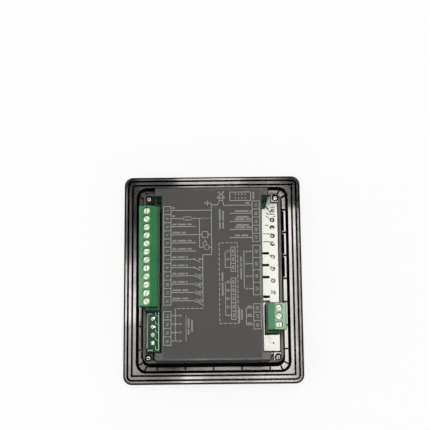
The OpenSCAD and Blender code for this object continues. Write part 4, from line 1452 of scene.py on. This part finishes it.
@dataclass
class FrontFace:
    """Print on the front film, on the keys and on the display. The front looks down, along negative Z."""

    ink_t: float = 0.03
    line_w: float = 0.6
    view_in: float = 4.0
    border: float = 9.0
    border_r: float = 3.0
    hole: float = 0.8
    hole_r: float = 0.6
    key_clear: float = 0.2
    key_word: tuple[float, float] = (3.0, 2.4)
    lamp_x: tuple[float, ...] = (11.0, 22.0, 33.0)
    lamp_word: tuple[float, float] = (2.2, 4.2)
    rule: tuple[float, float] = (44.0, 51.5)
    ring_r: float = 2.5
    ring_w: float = 0.8
    # Display: numbers with their middle along X, their height over the display's middle, and a row of bars
    display_t: float = 0.02
    numbers: tuple[tuple[str, float], ...] = (("230", 15.0), ("50.0", -14.0))
    number_rise: float = 8.0
    number_w: float = 0.9
    bar_heights: tuple[float, ...] = (3.0, 5.0, 6.5, 4.0, 7.5, 5.5, 6.0, 2.5)
    bar_first: float = 24.0
    bar_pitch: float = 6.8
    bar_foot: float = 14.0
    bar_w: float = 2.6
    digits: Digits = field(default_factory=lambda: Digits(height=7.0, gap=1.6))

    def __post_init__(self) -> None:
        """Take the faces of the film, the display and the keys from the frame."""
        self.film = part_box("front_film")[0].z / MM
        self.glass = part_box("lcd_glass")[0].z / MM
        low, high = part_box("display_window")
        self.view = np.array([high.x - low.x, high.y - low.y]) / MM - self.view_in
        self.view_y = (low.y + high.y) / 2 / MM

    def centre(self, node: str) -> tuple[np.ndarray, float]:
        """Middle and face of a key.

        Args:
            node: The key's node.

        Returns:
            Its place on X and Y, and the height of its face.
        """
        low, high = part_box(node)
        return np.array([low.x + high.x, low.y + high.y]) / 2 / MM, low.z / MM

    def fields(self) -> None:
        """Lay the black field round the display, rings round the keys and the plain bars of their words."""
        face, skin = self.film, self.film - self.ink_t
        outer = rounded(*self.view + self.border, self.border_r)
        hole = rounded(*self.view + self.hole, self.hole_r)
        rows = [(hole, face), (outer, face), (outer, skin), (hole, skin)]
        rings(rows, (0, self.view_y), closed=True).piece("display_border_ink", FIELD_BLACK)
        drawn = []
        for key in (body.value for body in Body if body.name.startswith("KEY")):
            middle, _ = self.centre(key)
            radius = (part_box(key)[1].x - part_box(key)[0].x) / MM / 2 + self.key_clear
            half, drop = self.key_word
            drawn.append(arc(tuple(middle), radius, steps=40))
            drawn.append(path([middle + [x, -radius - drop] for x in (-half, half)]))
        lamps, _ = self.centre("status_lamps")
        half, drop = self.lamp_word
        drawn += [path([(x - half, lamps[1] - drop), (x + half, lamps[1] - drop)]) for x in self.lamp_x]
        x, y = self.rule
        drawn += [path([(-x, at), (x, at)]) for at in (-y, y)]
        bars(np.concatenate(drawn), self.line_w, face, skin).piece("front_line_ink", FIELD_PALE)

    def symbols(self) -> None:
        """Put one simple sign on each key: square, hand bar, upright bar, two arrows and a ring."""
        signs = {
            Body.KEY_STOP: rounded(4.6, 4.6, 0.4),
            Body.KEY_MANUAL: rounded(2.2, 5.4, 1.0),
            Body.KEY_START: rounded(1.4, 5.2, 0.3),
            Body.KEY_UP: np.array([[-2.2, -1.4], [2.2, -1.4], [0.0, 2.2]]),
            Body.KEY_DOWN: np.array([[2.2, 1.4], [-2.2, 1.4], [0.0, -2.2]]),
        }
        for key, outline in signs.items():
            middle, face = self.centre(key.value)
            plate(outline, tuple(middle), face, face - self.ink_t).piece(f"{key.value}_sign", FIELD_PALE, key)
        middle, face = self.centre(Body.KEY_AUTO.value)
        ring = bars(arc(tuple(middle), self.ring_r, 30, 330, 24), self.ring_w, face, face - self.ink_t)
        ring.piece("key_auto_sign", FIELD_PALE, Body.KEY_AUTO)

    def display(self) -> None:
        """Show plain numbers and a row of bars on the display."""
        face, skin = self.glass, self.glass - self.display_t
        rise = self.view_y + self.number_rise
        drawn = [self.digits.lines(word, (x, rise), mirror=True) for word, x in self.numbers]
        foot = self.view_y - self.bar_foot
        columns = [path([(self.bar_first - i * self.bar_pitch, y) for y in (foot, foot + height)])
                   for i, height in enumerate(self.bar_heights)]
        ink = [bars(np.concatenate(drawn), self.number_w, face, skin),
               bars(np.concatenate(columns), self.bar_w, face, skin)]
        Surface.join(ink).piece("display_content", LCD_INK)

    def build(self) -> None:
        """Make the fields, the key signs and the display's content."""
        for make in (self.fields, self.symbols, self.display):
            make()


@dataclass(frozen=True)
class Softbox:
    """Flat lamp that hangs level: its sides in millimetres and how bright its face is."""

    name: str
    sides: tuple[float, float, float, float]
    radiance: float
    height: float = 1020.0
    warmth: str = "FFF9F4"

    def hang(self) -> None:
        """Make the lamp over its rectangle, shining down."""
        x0, x1, y0, y1 = (side * MM for side in self.sides)
        lamp = bpy.data.lights.new(self.name, "AREA")
        lamp.shape = "RECTANGLE"
        lamp.size, lamp.size_y = x1 - x0, y1 - y0
        lamp.energy = self.radiance * math.pi * lamp.size * lamp.size_y
        lamp.color = linear(self.warmth)[:3]
        hung = bpy.data.objects.new(self.name, lamp)
        hung.location = ((x0 + x1) / 2, (y0 + y1) / 2, self.height * MM)
        bpy.context.scene.collection.objects.link(hung)


@dataclass(frozen=True)
class StandLamp:
    """Square lamp on a stand that faces the object: its direction from +X and how bright its face is."""

    name: str
    azimuth: float
    radiance: float
    reach: float = 1000.0
    height: float = 950.0
    side: float = 650.0

    def stand(self) -> None:
        """Make the lamp on its stand, turned to the object."""
        lamp = bpy.data.lights.new(self.name, "AREA")
        lamp.shape = "SQUARE"
        lamp.size = self.side * MM
        lamp.energy = self.radiance * math.pi * lamp.size ** 2
        turn = math.radians(self.azimuth)
        place = Vector((math.cos(turn) * self.reach, math.sin(turn) * self.reach, self.height)) * MM
        stood = bpy.data.objects.new(self.name, lamp)
        stood.location = place
        stood.rotation_mode = "QUATERNION"
        stood.rotation_quaternion = place.to_track_quat("Z", "Y")
        bpy.context.scene.collection.objects.link(stood)


@dataclass
class Studio:
    """Pale floor, lamps and the camera at the photograph's angle."""

    floor_side: float = 4000.0
    floor_drop: float = 0.15
    floor_colour: str = "FAFAF9"
    floor_rough: float = 0.9
    floor_gloss: float = 0.1
    floor_white: float = 0.85
    # Sky: heights between which it darkens, and its levels at both
    sky_rise: tuple[float, float] = (0.05, 0.25)
    sky_level: tuple[float, float] = (0.9, 0.12)
    panels: tuple[Softbox, ...] = (
        Softbox("panel_right", (62, 136, -12, 249), 20.0),
        Softbox("panel_right_low", (84, 136, -68, -12), 18.0),
        Softbox("panel_left", (-176, -145, 45, 150), 24.0),
        Softbox("panel_left_low", (-176, -145, -60, 45), 11.0),
        Softbox("panel_left_glint", (-163, -153, -24, -2), 14.0),
        Softbox("panel_left_high", (-176, -145, 150, 205), 5.0),
        Softbox("panel_left_edge", (-178, -168, 150, 285), 10.0),
        Softbox("panel_top", (-75, 35, 288, 316), 20.0),
        Softbox("panel_top_start", (-150, -75, 288, 316), 2.5),
        Softbox("panel_top_end", (35, 105, 288, 316), 9.0),
        Softbox("panel_bottom", (-70, 84, -68, -43), 22.0),
        Softbox("panel_bottom_end", (-160, -70, -68, -43), 9.0),
        Softbox("panel_corner", (88, 112, 254, 278), 22.0),
        Softbox("panel_left_gutter", (-143, -131, 222, 286), 3.0),
        Softbox("panel_middle", (-75, 25, -20, 195), 8.5),
    )
    stands: tuple[StandLamp, ...] = (
        StandLamp("fill_right_back", 45.0, 2.4),
        StandLamp("fill_left_back", 135.0, 2.6),
        StandLamp("fill_left_front", 225.0, 2.6),
        StandLamp("fill_right_front", 315.0, 2.4),
        StandLamp("window_left", 180.0, 3.0, reach=1200.0, height=640.0, side=500.0),
    )
    eye: tuple[float, float, float] = (8.3, -69.4, 587.1)
    right: tuple[float, float, float] = (0.99994, -0.01033, -0.00374)
    up: tuple[float, float, float] = (0.01082, 0.98520, 0.17104)
    focal_px: float = 900.0
    centre_px: tuple[float, float] = (223.6, 231.9)
    image_px: float = 430.0
    sensor_mm: float = 36.0
    clip_m: tuple[float, float] = (0.01, 20.0)

    def floor(self) -> None:
        """Lay the floor under the object. Seen from below it lets the camera through to the front."""
        half, low = self.floor_side / 2, -self.floor_drop
        points = np.array([[-half, -half, low], [half, -half, low], [half, half, low], [-half, half, low]])
        mesh = bpy.data.meshes.new("floor")
        mesh.from_pydata((points * MM).tolist(), [], [[0, 1, 2, 3]])
        made = bpy.data.objects.new("floor", mesh)
        bpy.context.scene.collection.objects.link(made)
        made.visible_shadow = False
        paint = bpy.data.materials.new("pale_floor")
        paint.use_nodes = True
        tree = paint.node_tree
        shader = tree.nodes["Principled BSDF"]
        shader.inputs["Base Color"].default_value = linear(self.floor_colour)
        shader.inputs["Roughness"].default_value = self.floor_rough
        shader.inputs["Specular IOR Level"].default_value = self.floor_gloss
        ray = add_node(tree, "ShaderNodeLightPath").outputs
        seen = add_node(tree, "ShaderNodeMath", {0: ray["Is Camera Ray"], 1: ray["Is Glossy Ray"]})
        inputs = {0: seen.outputs[0], 1: ray["Is Transmission Ray"]}
        seen = add_node(tree, "ShaderNodeMath", inputs, use_clamp=True)
        inputs = {0: seen.outputs[0], 1: self.floor_white}
        share = add_node(tree, "ShaderNodeMath", inputs, operation="MULTIPLY")
        white = add_node(tree, "ShaderNodeEmission", {"Color": (1.0, 1.0, 1.0, 1.0), "Strength": 1.0})
        inputs = {0: share.outputs[0], 1: shader.outputs["BSDF"], 2: white.outputs["Emission"]}
        paper = add_node(tree, "ShaderNodeMixShader", inputs)
        through = add_node(tree, "ShaderNodeBsdfTransparent")
        side = add_node(tree, "ShaderNodeNewGeometry")
        inputs = {0: side.outputs["Backfacing"], 1: paper.outputs["Shader"], 2: through.outputs["BSDF"]}
        mix = add_node(tree, "ShaderNodeMixShader", inputs)
        tree.links.new(mix.outputs["Shader"], tree.nodes["Material Output"].inputs["Surface"])
        mesh.materials.append(paint)

    def lamps(self) -> None:
        """Hang the panels that the gloss mirrors, and stand the fill lamps round the object."""
        for panel in self.panels:
            panel.hang()
        for lamp in self.stands:
            lamp.stand()

    def sky(self) -> None:
        """Make the surroundings pale at the horizon and dark overhead, so that gloss stays black."""
        world = bpy.data.worlds.new("studio")
        world.use_nodes = True
        tree = world.node_tree
        way = add_node(tree, "ShaderNodeTexCoord")
        split = add_node(tree, "ShaderNodeSeparateXYZ", {0: way.outputs["Generated"]})
        inputs = {"Value": split.outputs["Z"], "From Min": self.sky_rise[0], "From Max": self.sky_rise[1],
                  "To Min": self.sky_level[0], "To Max": self.sky_level[1]}
        level = add_node(tree, "ShaderNodeMapRange", inputs)
        tree.links.new(level.outputs["Result"], tree.nodes["Background"].inputs["Strength"])
        tree.nodes["Background"].inputs["Color"].default_value = (1.0, 1.0, 1.0, 1.0)
        bpy.context.scene.world = world

    def camera(self) -> None:
        """Set the camera that was fitted to the photograph."""
        lens = bpy.data.cameras.new("camera")
        lens.sensor_width = self.sensor_mm
        lens.lens = self.sensor_mm * self.focal_px / self.image_px
        lens.shift_x = (self.image_px / 2 - self.centre_px[0]) / self.image_px
        lens.shift_y = (self.centre_px[1] - self.image_px / 2) / self.image_px
        lens.clip_start, lens.clip_end = self.clip_m
        made = bpy.data.objects.new("camera", lens)
        right, up = Vector(self.right).normalized(), Vector(self.up).normalized()
        back = right.cross(up).normalized()
        turn = Matrix((right, back.cross(right), back)).transposed().to_4x4()
        made.matrix_world = Matrix.Translation(Vector(self.eye) * MM) @ turn
        bpy.context.scene.collection.objects.link(made)
        bpy.context.scene.camera = made

    def build(self) -> None:
        """Set the stage and the view transform."""
        self.camera()
        self.floor()
        self.lamps()
        self.sky()
        bpy.context.scene.view_settings.view_transform = "Standard"


def dress_nodes() -> None:
    """Give every solid of the frame its finish."""
    for name, node in frame["nodes"].items():
        node.data.materials.clear()
        node.data.materials.append(NODE_FINISH[name].material())
        LOG.info("%s: %s", name, NODE_FINISH[name].name)


def main() -> None:
    """Build the stage, dress the solids and add the pieces that only the looks need."""
    logging.basicConfig(level=logging.INFO, format="%(name)s %(message)s")
    Studio().build()
    dress_nodes()
    left = ClampShade(Body.PLUG_LEFT, "clamp_screws_left", 12, 0.0, 52.0, (70, 200))
    right = ClampShade(Body.PLUG_RIGHT, "clamp_screws_right", 3, 104.0, -52.0, (-40, 150))
    for part in (DeckLabel(), BoardDressing(), CaseDetails(), left, right, FrontFace()):
        part.build()


if __name__ == "__main__":
    main()
